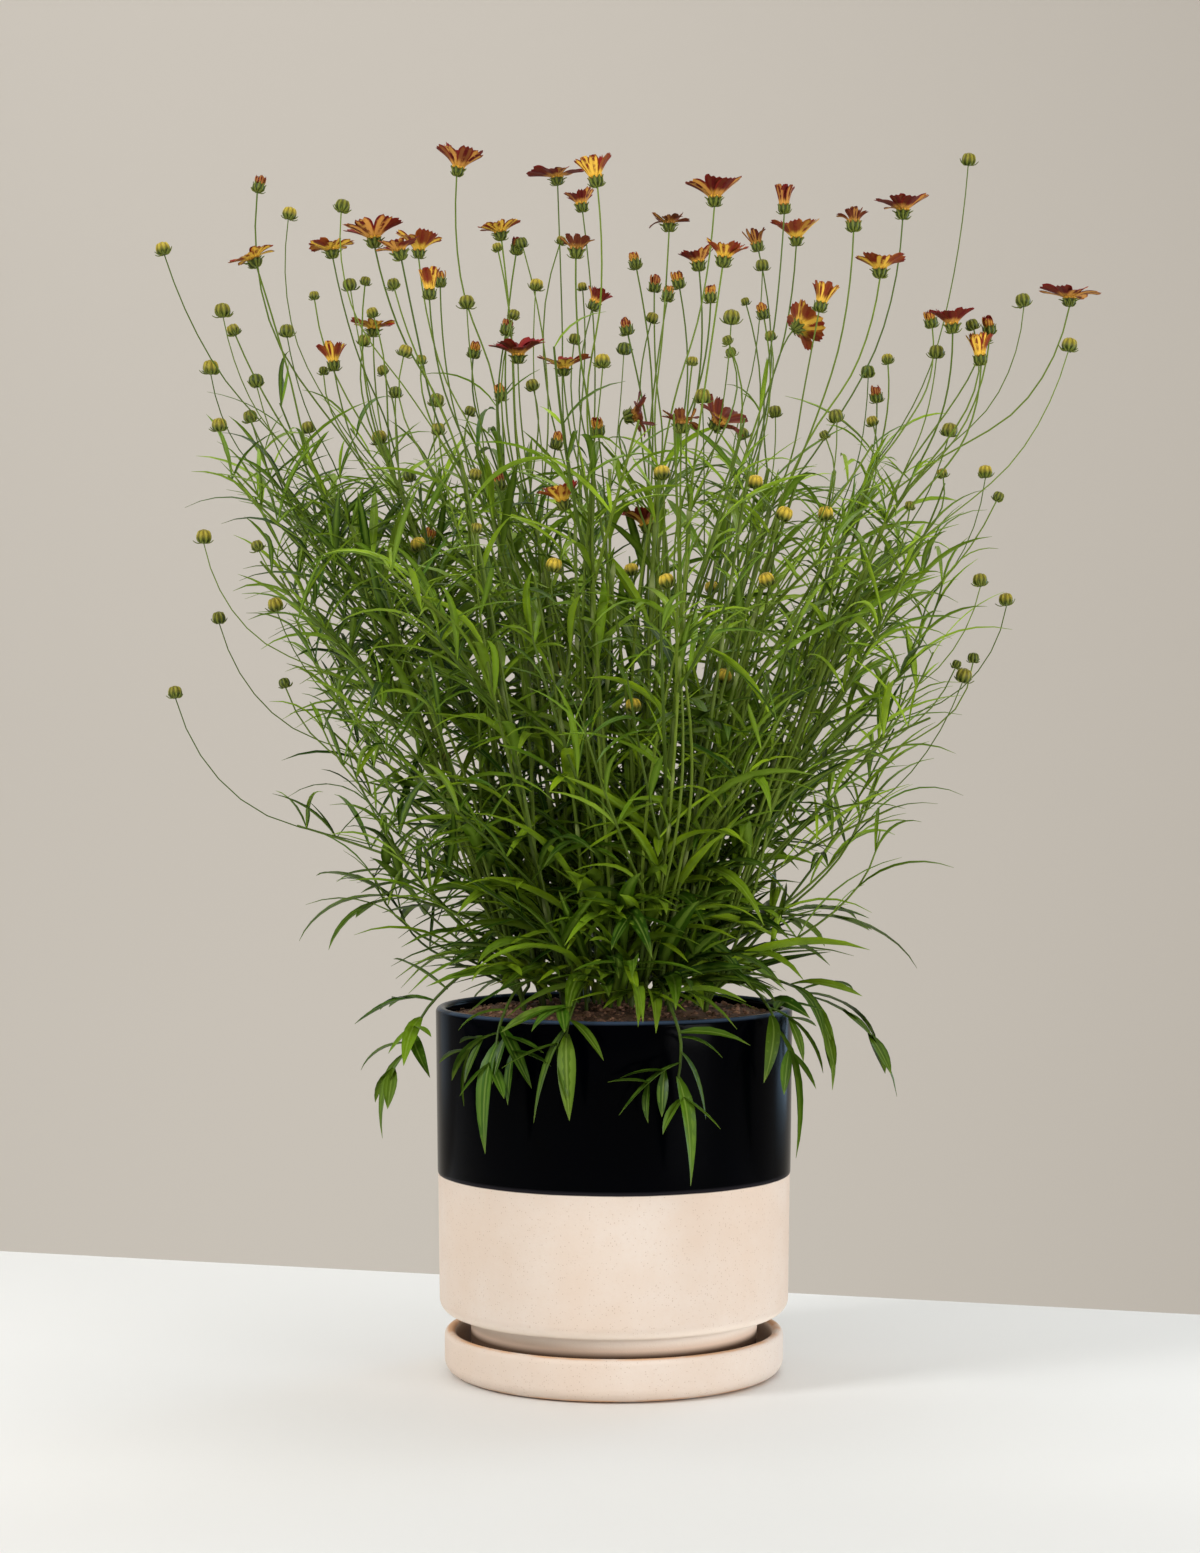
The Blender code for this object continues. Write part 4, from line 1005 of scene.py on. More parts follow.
def head_shape(tip, axis, kind, span, opening, margin):
    """What the head fills, for the room test."""
    if kind == "bud":
        ends = [tip - axis * margin, tip + axis * (2 * BUD_RADIUS + margin)]
        return tube_shape(ends, (BUD_RADIUS,) * 2, margin)
    ends = [tip - axis * margin, tip + axis * (CUP_HEIGHT + DISC_HEIGHT + GAP + margin)]
    core = tube_shape(ends, (CUP_RADIUS,) * 2, margin)
    if kind == "opening":
        ends[1] = tip + axis * (OPENING_HEIGHT + margin)
        return tube_shape(ends, (CUP_RADIUS,) * 2, margin)
    base = tip + axis * (CUP_HEIGHT + GAP)
    rays = bloom_shape(base, axis, span, opening, ray_count(opening), margin)
    return merged([core, rays])


def ray_count(opening):
    return 5 if opening > 50 else 6


def place_head(stems, room, head, draw):
    """Finds the stem, the depth and the stalk that leave this head clear of all the others."""
    x_mm, up_mm, kind, span, opening, axis = head
    stem = nearest_stem(stems, x_mm, up_mm, BUD_LOAD if kind == "bud" else BLOOM_LOAD)
    thick = BUD_STALK_RADIUS if kind == "bud" else STALK_RADIUS
    for attempt in range(HEAD_TRIES):
        line = stem.at(stem.rise_of(up_mm * MM))
        depth = line.y * 0.92 + draw.uniform(-1, 1) * (14 + attempt) * MM
        tip = seen_from_front(x_mm, up_mm, depth)
        room_below = stem.rise_of(tip.z)
        foot = min(room_below - draw.uniform(70, 130) * MM, stem.height - 2 * MM)
        foot = max(foot - draw.uniform(0, 1) * attempt * 1.5 * MM, 30 * MM)
        fork = draw.uniform(0, math.tau)
        points = stalk_path(stem, foot, fork, tip, axis, 4)
        radii = [thick] * len(points)
        sleeve = tube_shape(points, radii, CLEAR)
        above = tube_shape([points[0].lerp(points[1], 0.4)] + points[1:], radii, CLEAR)
        shape = head_shape(tip, axis, kind, span, opening, CLEAR)
        own = ((stem.number, "axis"), (stem.number, "stalk"))
        clear = room.free(sleeve, own) and room.free(above)
        if clear and room.free(shape):
            room.add(tube_shape(points, radii), (stem.number, "stalk"))
            room.add(head_shape(tip, axis, kind, span, opening, 0.0), (stem.number, "head"))
            placed = {"tip": tip, "axis": axis, "kind": kind, "span": span, "opening": opening}
            placed["stalk"] = (points, radii)
            stem.heads.append(placed)
            return placed
    return None


def leaf_path(root, azimuth, rise, droop, length, count):
    """Points of an arching leaf: it leaves at the rise angle and bends down by the droop angle."""
    fine = 24
    points = [root]
    for k in range(fine):
        pitch = rise - droop * (k + 0.5) / fine
        forward = Vector((math.cos(azimuth), math.sin(azimuth), 0)) * math.cos(pitch)
        points.append(points[-1] + (forward + Vector((0, 0, math.sin(pitch)))) * length / fine)
    return [points[round(fine * k / (count - 1))] for k in range(count)]


def leaf_shape(points, width, twist, margin=0.0):
    """A narrow blade, widest in the middle, with its keel underneath."""
    chord = (points[-1] - points[0]).normalized()
    level, up = across(chord)
    side = level * math.cos(twist) + up * math.sin(twist)
    keel = side.cross(chord).normalized()
    if keel.z > 0:
        keel = -keel
    widths = [LEAF_ROOT, width] if len(points) == 3 else [LEAF_ROOT, width, 0.72 * width]
    if margin:
        points = [p - keel * margin for p in points]
        points[-1] = points[-1] + chord * margin
        widths = [w + 2 * margin for w in widths]
    return blade_mesh(points, side, widths, LEAF_THICKNESS + 2 * margin, keel)


def grow_leaves(stem, room):
    """Opposite pairs up the stem, each pair turned square to the last."""
    leaves = []
    draw = stem.random
    turn = draw.uniform(0, math.tau)
    rise = draw.uniform(8, 20) * MM
    while rise < stem.height - 6 * MM:
        share = rise / STEM_HEIGHT
        for half in (0, math.pi):
            length = (LOW_LEAF + (TOP_LEAF - LOW_LEAF) * share) * draw.uniform(0.8, 1.15)
            width = LOW_LEAF_WIDTH + (TOP_LEAF_WIDTH - LOW_LEAF_WIDTH) * share
            width *= draw.uniform(0.85, 1.1)
            radius = STEM_RADIUS * 0.35
            for attempt in range(LEAF_TRIES):
                azimuth = turn + half + draw.uniform(-0.5, 0.5) * (1 + attempt / 5)
                lift = math.radians(draw.uniform(38, 62))
                droop = math.radians(draw.uniform(50, 100))
                outward = Vector((math.cos(azimuth), math.sin(azimuth), 0))
                root = stem.at(rise) + outward * radius
                count = 4 if share < 0.36 else 3
                points = leaf_path(root, azimuth, lift, droop, length, count)
                twist = draw.uniform(-0.5, 0.5)
                fat = leaf_shape(points, width, twist, CLEAR)
                if room.free(fat, ((stem.number, "axis"),)):
                    room.add(leaf_shape(points, width, twist), (stem.number, "leaf"))
                    leaves.append((points, width, twist))
                    break
        turn += math.pi / 2 + draw.uniform(-0.3, 0.3)
        rise += LEAF_STEP * draw.uniform(0.85, 1.15)
    return leaves


def spray_leaf(root, tip):
    """A leaf from a runner: its root and tip are given, and it hangs in a low arch between."""
    chord = tip - root
    outward = Vector((root.x, root.y, 0)).normalized()
    bulge = (Vector((0, 0, 1)) + outward * 0.8) * chord.length * 0.12
    points = []
    for t in (0, 0.36, 0.7, 1):
        points.append(root + chord * t + bulge * 4 * t * (1 - t))
    return points


def grow(room):
    """The stems, then what each of them carries, in the order the solids were grown in."""
    stems = [Stem(number) for number in range(STEM_COUNT)]
    for stem in stems:
        points, radii = stem.path()
        room.add(tube_shape(points, radii), (stem.number, "axis"))
    sprays = grow_sprays(stems, room)
    draw = random.Random(7)
    blooms = []
    for x_mm, up_mm, span, opening, lean, nod, tone in BLOOMS:
        head = (x_mm, up_mm, "bloom", span, opening, head_axis(lean, nod))
        placed = place_head(stems, room, head, draw)
        if placed:
            placed["tone"] = tone
            blooms.append(placed)
    for kind, places in (("opening", OPENING), ("bud", BUDS)):
        for x_mm, up_mm in places:
            axis = head_axis(draw.uniform(-14, 14), draw.uniform(-14, 14))
            place_head(stems, room, (x_mm, up_mm, kind, 0, 0, axis), draw)
    leaves = [grow_leaves(stem, room) for stem in stems]
    return stems, sprays, blooms, leaves


def grow_sprays(stems, room):
    """Each runner leaves the nearest stem a little below its first point."""
    sprays = {}
    for runner, leaves in SPRAYS:
        path = [Vector(point) * MM for point in runner]
        rise = path[0].z - soil_height(CLUMP_RADIUS) - RUNNER_DROP
        stem = min(stems, key=lambda s: (s.at(rise) - path[0]).length)
        points = [stem.at(rise)] + path
        thick = [RUNNER_RADIUS] * len(points)
        room.add(tube_shape(points, thick), (stem.number, "stalk"))
        blades = []
        for start, tip, width in leaves:
            behind = min(int(start), len(path) - 2)
            root = path[behind].lerp(path[behind + 1], start - behind)
            shape_points = spray_leaf(root, Vector(tip) * MM)
            blades.append((shape_points, width * MM, 0.0))
            room.add(leaf_shape(shape_points, width * MM, 0.0), (stem.number, "leaf"))
        sprays.setdefault(stem.number, []).append((points, blades))
    return sprays


room = Room()
wall_ends = [Vector((0, 0, SAUCER_FLOOR)), Vector((0, 0, POT_RIM_Z))]
room.add(tube_shape(wall_ends, (POT_RADIUS / SLEEVE_EASE + 1.5 * MM,) * 2), "pot")
stems, sprays, blooms, leaves = grow(room)

# ---------------------------------------------------------------------------------------------
# The leaves: thin lance-shaped blades, folded up a little from a light rib, dark above and paler
# beneath. They stand in opposite pairs where a stem has its joints, with tufts of small ones in
# the axils, and the broad ones are now and then parted into lobes.

UP = np.array((0.0, 0.0, 1.0))
BOX_EASE = 8 * MM
POT_EASE = 3 * MM
SHARP = math.radians(52)


class Sprig:
    """Gathers closed skins in several finishes and makes one object of them.

    Each point keeps four numbers for the finishes: how far along it lies, how far across,
    whether it is on the underside, and the tone of its own leaf, bud or ray.
    """

    def __init__(self, name, *finishes):
        self.name = name
        self.finishes = finishes
        self.points = []
        self.marks = []
        self.faces = []
        self.skins = []
        self.count = 0

    def loft(self, rings, finish, along, across, under, tone):
        """A closed skin through the rings, with the four numbers for each of its points."""
        stations, around = rings.shape[:2]
        index = self.count + np.arange(stations * around).reshape(stations, around)
        here, after = index[:-1], index[1:]
        sides = np.stack((here, np.roll(here, -1, 1), np.roll(after, -1, 1), after), 2)
        self.faces += sides.reshape(-1, 4).tolist()
        self.faces += [index[0, ::-1].tolist(), index[-1].tolist()]
        skin = self.finishes.index(finish)
        self.skins += [skin] * ((stations - 1) * around + 2)
        marks = np.empty((stations, around, 4))
        marks[..., 0] = np.reshape(along, (-1, 1))
        marks[..., 1] = across
        marks[..., 2] = under
        marks[..., 3] = tone
        self.points.append(rings.reshape(-1, 3))
        self.marks.append(marks.reshape(-1, 4))
        self.count += stations * around

    def make(self, node=None):
        """All that was gathered becomes one object that rides with the part."""
        mesh = bpy.data.meshes.new(self.name)
        mesh.from_pydata(np.concatenate(self.points).tolist(), [], self.faces)
        marks = mesh.attributes.new("growth", "FLOAT_COLOR", "POINT")
        marks.data.foreach_set("color", np.concatenate(self.marks).ravel())
        mesh.polygons.foreach_set("material_index", self.skins)
        mesh.shade_smooth()
        mesh.set_sharp_from_angle(angle=SHARP)
        for finish in self.finishes:
            mesh.materials.append(finish.material)
        made = added(self.name, mesh)
        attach(made, "root")
        if node:
            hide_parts(node)


def unit(vectors):
    """The vectors, each brought to length 1."""
    return vectors / np.linalg.norm(vectors, axis=-1, keepdims=True)


def arch(root, azimuth, lift, droop, length, count, swing=0.0):
    """A path that leaves at the lift angle and bends down by the droop angle."""
    t = (np.arange(count - 1) + 0.5) / (count - 1)
    pitch = lift - droop * t
    turn = azimuth + swing * t
    steps = (np.cos(turn) * np.cos(pitch), np.sin(turn) * np.cos(pitch), np.sin(pitch))
    run = np.cumsum(np.stack(steps, 1) * (length / (count - 1)), axis=0)
    return np.vstack((root, root + run))


# Leaf sections: across, lift above the rib, and underside. Thread-like leaves have the second.
BROAD_SECTION = np.array(
    ((1.0, 0.55, 0.0, -0.55, -1.0, 0.0), (1.0, 0.40, 0.0, 0.40, 1.0, 0.0), (0, 0, 0, 0, 0, 1.0))
)
NARROW_SECTION = np.array(((1.0, 0.0, -1.0, 0.0), (1.0, 0.0, 1.0, 0.0), (0, 0, 0, 1.0)))
NARROW_LEAF = 3 * MM
BLADE_THICK = 0.4 * MM


def blade(sprig, path, width, twist, fold, tone, curl=0.0):
    """A lance-shaped leaf along the path, folded up a little from its rib."""
    t = np.linspace(0, 1, len(path))
    along = unit(np.gradient(path, axis=0))
    chord = unit(path[-1] - path[0])
    level = np.cross(chord, UP)
    level = unit(level) if np.linalg.norm(level) > 0.02 else np.array((1.0, 0.0, 0.0))
    rise = np.cross(level, chord)
    lean = (twist + curl * (t - 0.5))[:, None]
    side = -(level * np.cos(lean) + rise * np.sin(lean))
    side = unit(side - along * np.sum(side * along, axis=1, keepdims=True))
    normal = np.cross(along, side)
    wide = np.maximum(np.sin(math.pi * t**0.85) ** 0.85, 0.22 * (1 - t) ** 3 + 0.02)
    half = (width / 2 * wide)[:, None, None]
    places, lifts, under = NARROW_SECTION if width < NARROW_LEAF else BROAD_SECTION
    rings = path[:, None] + side[:, None] * half * places[:, None]
    rings += normal[:, None] * half * fold * lifts[:, None]
    thick = BLADE_THICK * (0.35 + 0.65 * (1 - t))
    rings -= normal[:, None] * (thick[:, None] * under)[..., None]
    sprig.loft(rings, leaf_green, t, (places + 1) / 2, under, tone)


def allowed(path):
    """False where a path would pass through the pot's wall or the soil, or leave the box."""
    low = np.array(cad_low) - BOX_EASE
    high = np.array(cad_high) + BOX_EASE
    if np.any(path < low) or np.any(path > high):
        return False
    out = np.hypot(path[:, 0], path[:, 1])
    beside = path[:, 2] < POT_RIM_Z + POT_EASE
    in_wall = (out > POT_RADIUS - POT_WALL - POT_EASE) & (out < POT_RADIUS + POT_EASE)
    in_soil = (path[:, 2] < SOIL_CROWN_Z + POT_EASE) & (out < POT_RADIUS)
    return not np.any(beside & in_wall) and not np.any(in_soil[1:])


LEAF_DARK = (0.014, 0.045, 0.0006)
LEAF_LIGHT = (0.325, 0.490, 0.012)
LEAF_COOL = (0.060, 0.158, 0.006)
LEAF_TIP = (0.26, 0.34, 0.04)
LEAF_BACK = (0.200, 0.318, 0.032)
LEAF_RIB = (0.32, 0.42, 0.09)
# Which leaves are cooler: a wave over their tones, quick enough to look like chance.
COOL_WAVE = 97.0

leaf_green = Finish("leaf_green", (0.10, 0.18, 0.01), 0.5, 0.20)
along, over, under, tone = leaf_green.growth()
rib = (over - 0.5).size().step(0.10, 0.0) * (1 - under)
mottle = leaf_green.noise(70.0, 3.0)
colour = leaf_green.mix(tone, LEAF_DARK, LEAF_LIGHT)
cool = leaf_green.sine(tone * COOL_WAVE).step(0.1, 0.9)
colour = leaf_green.mix(cool * 0.45, colour, LEAF_COOL)
colour = leaf_green.mix(along.step(0.82, 1.0) * 0.25, colour, LEAF_TIP)
colour = leaf_green.mix(mottle.step(0.35, 0.75) * 0.35, colour, LEAF_DARK)
colour = leaf_green.mix(under * 0.55, colour, LEAF_BACK)
colour = leaf_green.mix(rib * 0.30, colour, LEAF_RIB)
matt = 0.36 + under * 0.25 + mottle * 0.12
veins = leaf_green.noise(1.0, 2.0, 0.5, leaf_green.place((260.0, 260.0, 260.0)))
leaf_green.cover(colour, matt, veins + rib, 0.0003, 0.35)

# The smallest buds, in mm from the axis and above the table as seen from the front. With the
# heads of the solids they are the spots that leaves in front of them keep clear of.
SMALL_BUDS = (
    (-124, 609), (-213, 583), (-119, 571), (-45, 552), (21, 590), (43, 566), (66, 571), (89, 580),
    (154, 567), (-99, 527), (94, 479), (30, 441), (-168, 603), (11, 371), (75, 600), (-140, 611),
    (-135, 593), (-141, 577), (-109, 567), (-30, 634), (-51, 632), (-65, 630), (-57, 592),
    (-17, 608), (-22, 578), (64, 578), (202, 586), (208, 579), (-163, 561), (-129, 561),
    (-123, 548), (-82, 538), (-79, 502), (-109, 462), (-35, 450), (27, 502), (87, 442),
    (-78, 472), (-200, 462), (-185, 385), (-95, 344), (202, 399), (192, 396), (61, 388),
    (119, 525), (74, 525), (146, 532), (185, 503), (215, 490), (166, 485),
)  # fmt: skip
SMALL_BUD_DEPTH = 0.03
HEAD_CENTRE = 6 * MM
BLOOM_SIDE = 9 * MM
BLOOM_RISE = 3 * MM


def spot(x, y, z):
    """Where a place is seen from the front: across, up from the eye, and its depth."""
    near = EYE_DISTANCE / (EYE_DISTANCE + y)
    return x * near, (z - EYE_HEIGHT) * near, y


spots = []
for stem in stems:
    for head in stem.heads:
        tip = head["tip"] + head["axis"] * HEAD_CENTRE
        spots.append(spot(*tip))
        if head["kind"] == "bloom":
            for side in (-BLOOM_SIDE, BLOOM_SIDE):
                spots.append(spot(tip.x + side, tip.y, tip.z + BLOOM_RISE))
spots += [(x_mm * MM, up_mm * MM - EYE_HEIGHT, SMALL_BUD_DEPTH) for x_mm, up_mm in SMALL_BUDS]
head_spots = np.array(spots)

# The tone halfway up the clump, how far it varies, and how high halfway is.
TONE_MIDDLE = 0.39
TONE_SPREAD = 0.48
TONE_HEIGHT = 0.36


def tone_with_painted_light(draw, place):
    """Leaves and stems are lighter towards the top and the right of the clump, a painted light, and
    vary at random.
    """
    varied = TONE_MIDDLE + draw.uniform(-TONE_SPREAD, TONE_SPREAD)
    return min(max(varied + place[0] + (place[2] - TONE_HEIGHT), 0.0), 1.0)


# Where leaves are fewer: left and right end, bottom and top, and the share of them that stays.
SPARSE = (
    (0.085, 0.145, 0.500, 0.60, 0.45),
    (-0.135, -0.070, 0.195, 0.275, 0.20),
    (0.070, 0.150, 0.195, 0.300, 0.45),
    (-0.085, -0.010, 0.290, 0.60, 0.75),
    (-0.010, 0.135, 0.280, 0.475, 0.55),
)
HEAD_ROOM = 6.5 * MM
BROAD_LEAF = 5.6 * MM


def in_the_way(path):
    """True where a leaf would hide a bud or a bloom from the front."""
    near = EYE_DISTANCE / (EYE_DISTANCE + path[1:, 1])
    flat = np.stack((path[1:, 0] * near, (path[1:, 2] - EYE_HEIGHT) * near), 1)
    apart = np.linalg.norm(flat[:, None] - head_spots[None, :, :2], axis=2)
    before = path[1:, 1][:, None] < head_spots[None, :, 2] - 2 * MM
    return np.any((apart < HEAD_ROOM) & before)


def leaf(sprig, root, azimuth, lift, droop, length, width, draw):
    """One leaf of the fine growth, kept only where it stays clear of the pot and the box."""
    count = 8 if length > 45 * MM else 6
    path = arch(root, azimuth, lift, droop, length, count, draw.uniform(-0.5, 0.5))
    middle = path[count // 2]
    for left, right, low, high, kept in SPARSE:
        if left < middle[0] < right and low < middle[2] < high and draw.random() > kept:
            return
    if not allowed(path) or in_the_way(path):
        return
    tone = tone_with_painted_light(draw, root)
    twist = draw.uniform(-0.6, 0.6)
    blade(sprig, path, width, twist, draw.uniform(0.2, 0.45), tone, draw.uniform(-0.8, 0.8))
    if width > BROAD_LEAF and draw.random() < 0.5:
        part_leaf(sprig, path, length, width, tone, draw, draw.choice(((2,), (3,))))


def part_leaf(sprig, path, length, width, tone, draw, joints):
    """Pairs of side lobes on a broad leaf, in the plane of its blade."""
    for joint in joints:
        run = unit(path[joint + 1] - path[joint])
        out = unit(path[joint] * (1.0, 1.0, 0.0))
        side = unit(np.cross(run, UP * (1.05 - abs(run[2])) + out * abs(run[2])))
        for hand in (-1, 1):
            spread_by = draw.uniform(0.55, 0.95)
            head = run * math.cos(spread_by) + side * hand * math.sin(spread_by)
            lobe_length = length * draw.uniform(0.36, 0.55)
            turn = math.atan2(head[1], head[0])
            droop = draw.uniform(0.1, 0.5)
            lobe = arch(path[joint], turn, math.asin(head[2]), droop, lobe_length, 7)
            if allowed(lobe):
                blade(sprig, lobe, width * draw.uniform(0.55, 0.75), 0.0, 0.3, tone)


# ---------------------------------------------------------------------------------------------
# The leafy stems: round, yellow-green, darker near the soil, and slightly swollen and paler where
# the opposite leaves join. Slim side shoots rise out of the axils. All of it stands in the soil.

STALK_DARK = (0.050, 0.085, 0.006)
STALK_LIGHT = (0.150, 0.215, 0.018)
STALK_JOINT = (0.42, 0.47, 0.19)
STALK_LOW = (0.035, 0.065, 0.006)
STEM_LEAVES = (LOW_LEAF, 66 * MM, LOW_LEAF_WIDTH * 0.95, 4.4 * MM)
SHOOT_LEAVES = (68 * MM, 46 * MM, 4.8 * MM, 2.8 * MM)
STEM_STATIONS = 40
JOINT_GAP = 29 * MM
JOINT_SWELL = 0.6 * MM
STEM_SINK = 5 * MM
# How thick the fine stems are, as shares of the solids' stems, and the radius of a side shoot.
STEM_GIRTH = 0.66
SLIM_GIRTH = 0.46
SHOOT_RADIUS = 0.95 * MM

stalk_green = Finish("stalk_green", (0.18, 0.26, 0.03), 0.5, 0.2)
_, joint, _, tone = stalk_green.growth()
streak = stalk_green.noise(1.0, 3.0, 0.6, stalk_green.place((900.0, 900.0, 60.0)))
colour = stalk_green.mix(tone, STALK_DARK, STALK_LIGHT)
colour = stalk_green.mix(streak.step(0.35, 0.75) * 0.4, colour, STALK_DARK)
colour = stalk_green.mix(joint * 0.6, colour, STALK_JOINT)
low = stalk_green.part_of(stalk_green.place(), 2).step(0.30, 0.21)
colour = stalk_green.mix(low * 0.75, colour, STALK_LOW)
stalk_green.cover(colour, 0.45 + streak * 0.12, streak, 0.0003, 0.4)


def carried(path):
    """A side and an upper vector at each point of the path, carried along it untwisted."""
    along = unit(np.gradient(path, axis=0))
    level = np.cross(along[0], UP)
    if np.linalg.norm(level) < 0.05:
        level = np.array((1.0, 0.0, 0.0))
    sides = []
    for run in along:
        level = unit(level - run * level.dot(run))
        sides.append(level)
    side = np.array(sides)
    return side, np.cross(along, side)


def rod(sprig, finish, path, radii, tone, around=6, bands=0.0):
    """A round stem; across holds how near a pale joint each ring is."""
    side, up = carried(path)
    turn = np.arange(around) * math.tau / around
    ring = side[:, None] * np.cos(turn)[:, None] + up[:, None] * np.sin(turn)[:, None]
    rings = path[:, None] + ring * np.reshape(radii, (-1, 1, 1))
    share = np.linspace(0, 1, len(path))
    sprig.loft(rings, finish, share, np.reshape(bands, (-1, 1)), 0.0, tone)


def dress(sprig, path, start, gap, sizes, draw, tuft=(0, 0, 1, 2)):
    """Opposite leaf pairs along an axis, with a tuft of small leaves in most axils."""
    long_low, long_top, wide_low, wide_top = sizes
    lengths = np.concatenate(([0.0], np.cumsum(np.linalg.norm(np.diff(path, axis=0), axis=1))))
    place = start
    turn = draw.uniform(0, math.tau)
    while place < lengths[-1]:
        share = place / lengths[-1]
        node = np.array([np.interp(place, lengths, path[:, k]) for k in range(3)])
        for half in (0, math.pi):
            azimuth = turn + half + draw.uniform(-0.45, 0.45)
            lift = math.radians(draw.uniform(34, 58) + 14 * share)
            droop = math.radians(draw.uniform(25, 85))
            length = (long_low + (long_top - long_low) * share) * draw.uniform(0.7, 1.15)
            width = (wide_low + (wide_top - wide_low) * share) * draw.uniform(0.75, 1.1)
            leaf(sprig, node, azimuth, lift, droop, length, width, draw)
            for _ in range(draw.choice(tuft)):
                azimuth += draw.uniform(-0.9, 0.9)
                lift = math.radians(draw.uniform(42, 78))
                length = draw.uniform(16, 42) * MM
                width = draw.uniform(1.2, 2.8) * MM
                leaf(sprig, node, azimuth, lift, droop * 0.6, length, width, draw)
        turn += math.pi / 2 + draw.uniform(-0.3, 0.3)
        place += gap * draw.uniform(0.8, 1.2)


def grow_shoot(sprig, start, azimuth, lift, length, radius, draw, leaves):
    """A slim side shoot that rises out of an axil, with narrow leaves of its own."""
    path = arch(start, azimuth, lift, draw.uniform(-0.45, 0.15), length, 9)
    if not allowed(path):
        return
    radii = np.linspace(radius, radius * 0.55, len(path))
    rod(sprig, stalk_green, path, radii, tone_with_painted_light(draw, start))
    dress(sprig, path, 14 * MM, 21 * MM, leaves, draw, (0, 0, 1))


def stem_rod(sprig, stem, draw):
    """The stem from a little under the soil to the foot of its top stalk."""
    rises = np.linspace(-STEM_SINK, stem.height, STEM_STATIONS)
    path = np.array([tuple(stem.at(rise)) for rise in rises])
    thin = (STEM_RADIUS - STEM_TIP_RADIUS) / stem.height
    joint = np.abs((rises / JOINT_GAP + stem.phase) % 1 - 0.5) * 2
    bands = np.clip((joint - 0.72) / 0.28, 0, 1) ** 2
    radii = (STEM_RADIUS - thin * np.maximum(rises, 0)) * stem_girth(stem) + JOINT_SWELL * bands
    rod(sprig, stalk_green, path, radii, tone_with_painted_light(draw, path[-1]), 8, bands)
    return path


def stem_girth(stem):
    """Stems beyond the twenty of the solids are slim ones."""
    return STEM_GIRTH if stem.number < STEM_COUNT else SLIM_GIRTH


def leafy_stem(sprig, stem, draw):
    """A stem with its leaf pairs, and one to three side shoots where it stands well out."""
    path = stem_rod(sprig, stem, draw)
    dress(sprig, path[6:], 4 * MM, JOINT_GAP, STEM_LEAVES, draw)
    for _ in range(draw.choice((1, 2, 3)) if stem.share > 0.5 else 1):
        rise = draw.uniform(0.16, 0.86) * stem.height
        azimuth = stem.angle + draw.uniform(-1.2, 1.2)
        lift = math.radians(draw.uniform(38, 70))
        length = draw.uniform(70, 135) * MM
        start = np.array(stem.at(rise))
        grow_shoot(sprig, start, azimuth, lift, length, SHOOT_RADIUS, draw, SHOOT_LEAVES)


# ---------------------------------------------------------------------------------------------
# The heads: a bud is ribbed and almost round; a cup is the lower half of one, open at the top.
# Both stand in eight narrow outer bracts that spread and turn up like ears, at the end of a
# stalk. Buds ripen from green to yellow, and brown at their tips.

CUP_GROOVE = (0.032, 0.048, 0.005)
CUP_LIGHT = (0.150, 0.175, 0.020)
BUD_GOLD = (0.74, 0.52, 0.05)
BUD_OLIVE = (0.27, 0.20, 0.02)
BUD_BROWN = (0.13, 0.045, 0.02)
# Profiles of a bud and of a cup: height and reach, as shares of its radius.
BUD_PROFILE = (
    (0.0, 0.26), (0.10, 0.56), (0.32, 0.86), (0.70, 1.0),
    (1.10, 0.98), (1.45, 0.80), (1.72, 0.52), (1.88, 0.22),
)  # fmt: skip
CUP_PROFILE = ((0.0, 0.26), (0.14, 0.62), (0.45, 0.90), (0.85, 1.0), (1.30, 1.0))
HEAD_ROUND = 24
BRACTS = 8
INNER_LONG = 4.2 * MM
INNER_WIDE = 2.3 * MM
BRACT_ACROSS = np.array((1.0, 0.0, -1.0, 0.0))
BRACT_UNDER = np.array((0.0, 0.0, 0.0, 1.0))

cup_green = Finish("cup_green", (0.14, 0.20, 0.03), 0.5, 0.2)
along, rib, _, tone = cup_green.growth()
fleck = cup_green.noise(500.0, 3.0)
colour = cup_green.mix(rib.step(0.2, 0.9), CUP_GROOVE, CUP_LIGHT)
ripe = along.step(0.30, 0.70) * tone
gold = cup_green.mix(rib.step(0.0, 0.55), BUD_OLIVE, BUD_GOLD)
colour = cup_green.mix(ripe, colour, gold)
brown = along.step(0.86, 1.0) * fleck.step(0.35, 0.6)
colour = cup_green.mix(brown * tone * 0.5, colour, BUD_BROWN)
colour = cup_green.mix(fleck.step(0.5, 0.8) * 0.3, colour, CUP_GROOVE)
cup_green.cover(colour, 0.45 + fleck * 0.15, fleck + rib, 0.0004, 0.4)


def facing(axis, spin):
    """The rotation that stands a head, spun about itself, along its axis."""
    stand = Vector((0, 0, 1)).rotation_difference(axis).to_matrix()
    return np.array(stand @ Matrix.Rotation(spin, 3, "Z"))


def ribbed(sprig, base, stand, profile, radius, tone, ribs=0.06):
    """A round body with a rib for each of the bracts."""
    turn = np.arange(HEAD_ROUND) * math.tau / HEAD_ROUND
    wave = np.cos(BRACTS * turn)
    rings = []
    for rise, wide in profile:
        reach = radius * wide * (1 + ribs * wave)
        high = np.full(HEAD_ROUND, radius * rise)
        rings.append(np.stack((reach * np.cos(turn), reach * np.sin(turn), high), 1))
    rings = np.array(rings) @ stand.T + base
    along = np.linspace(0, 1, len(profile))
    sprig.loft(rings, cup_green, along, (wave + 1) / 2, 0.0, tone)


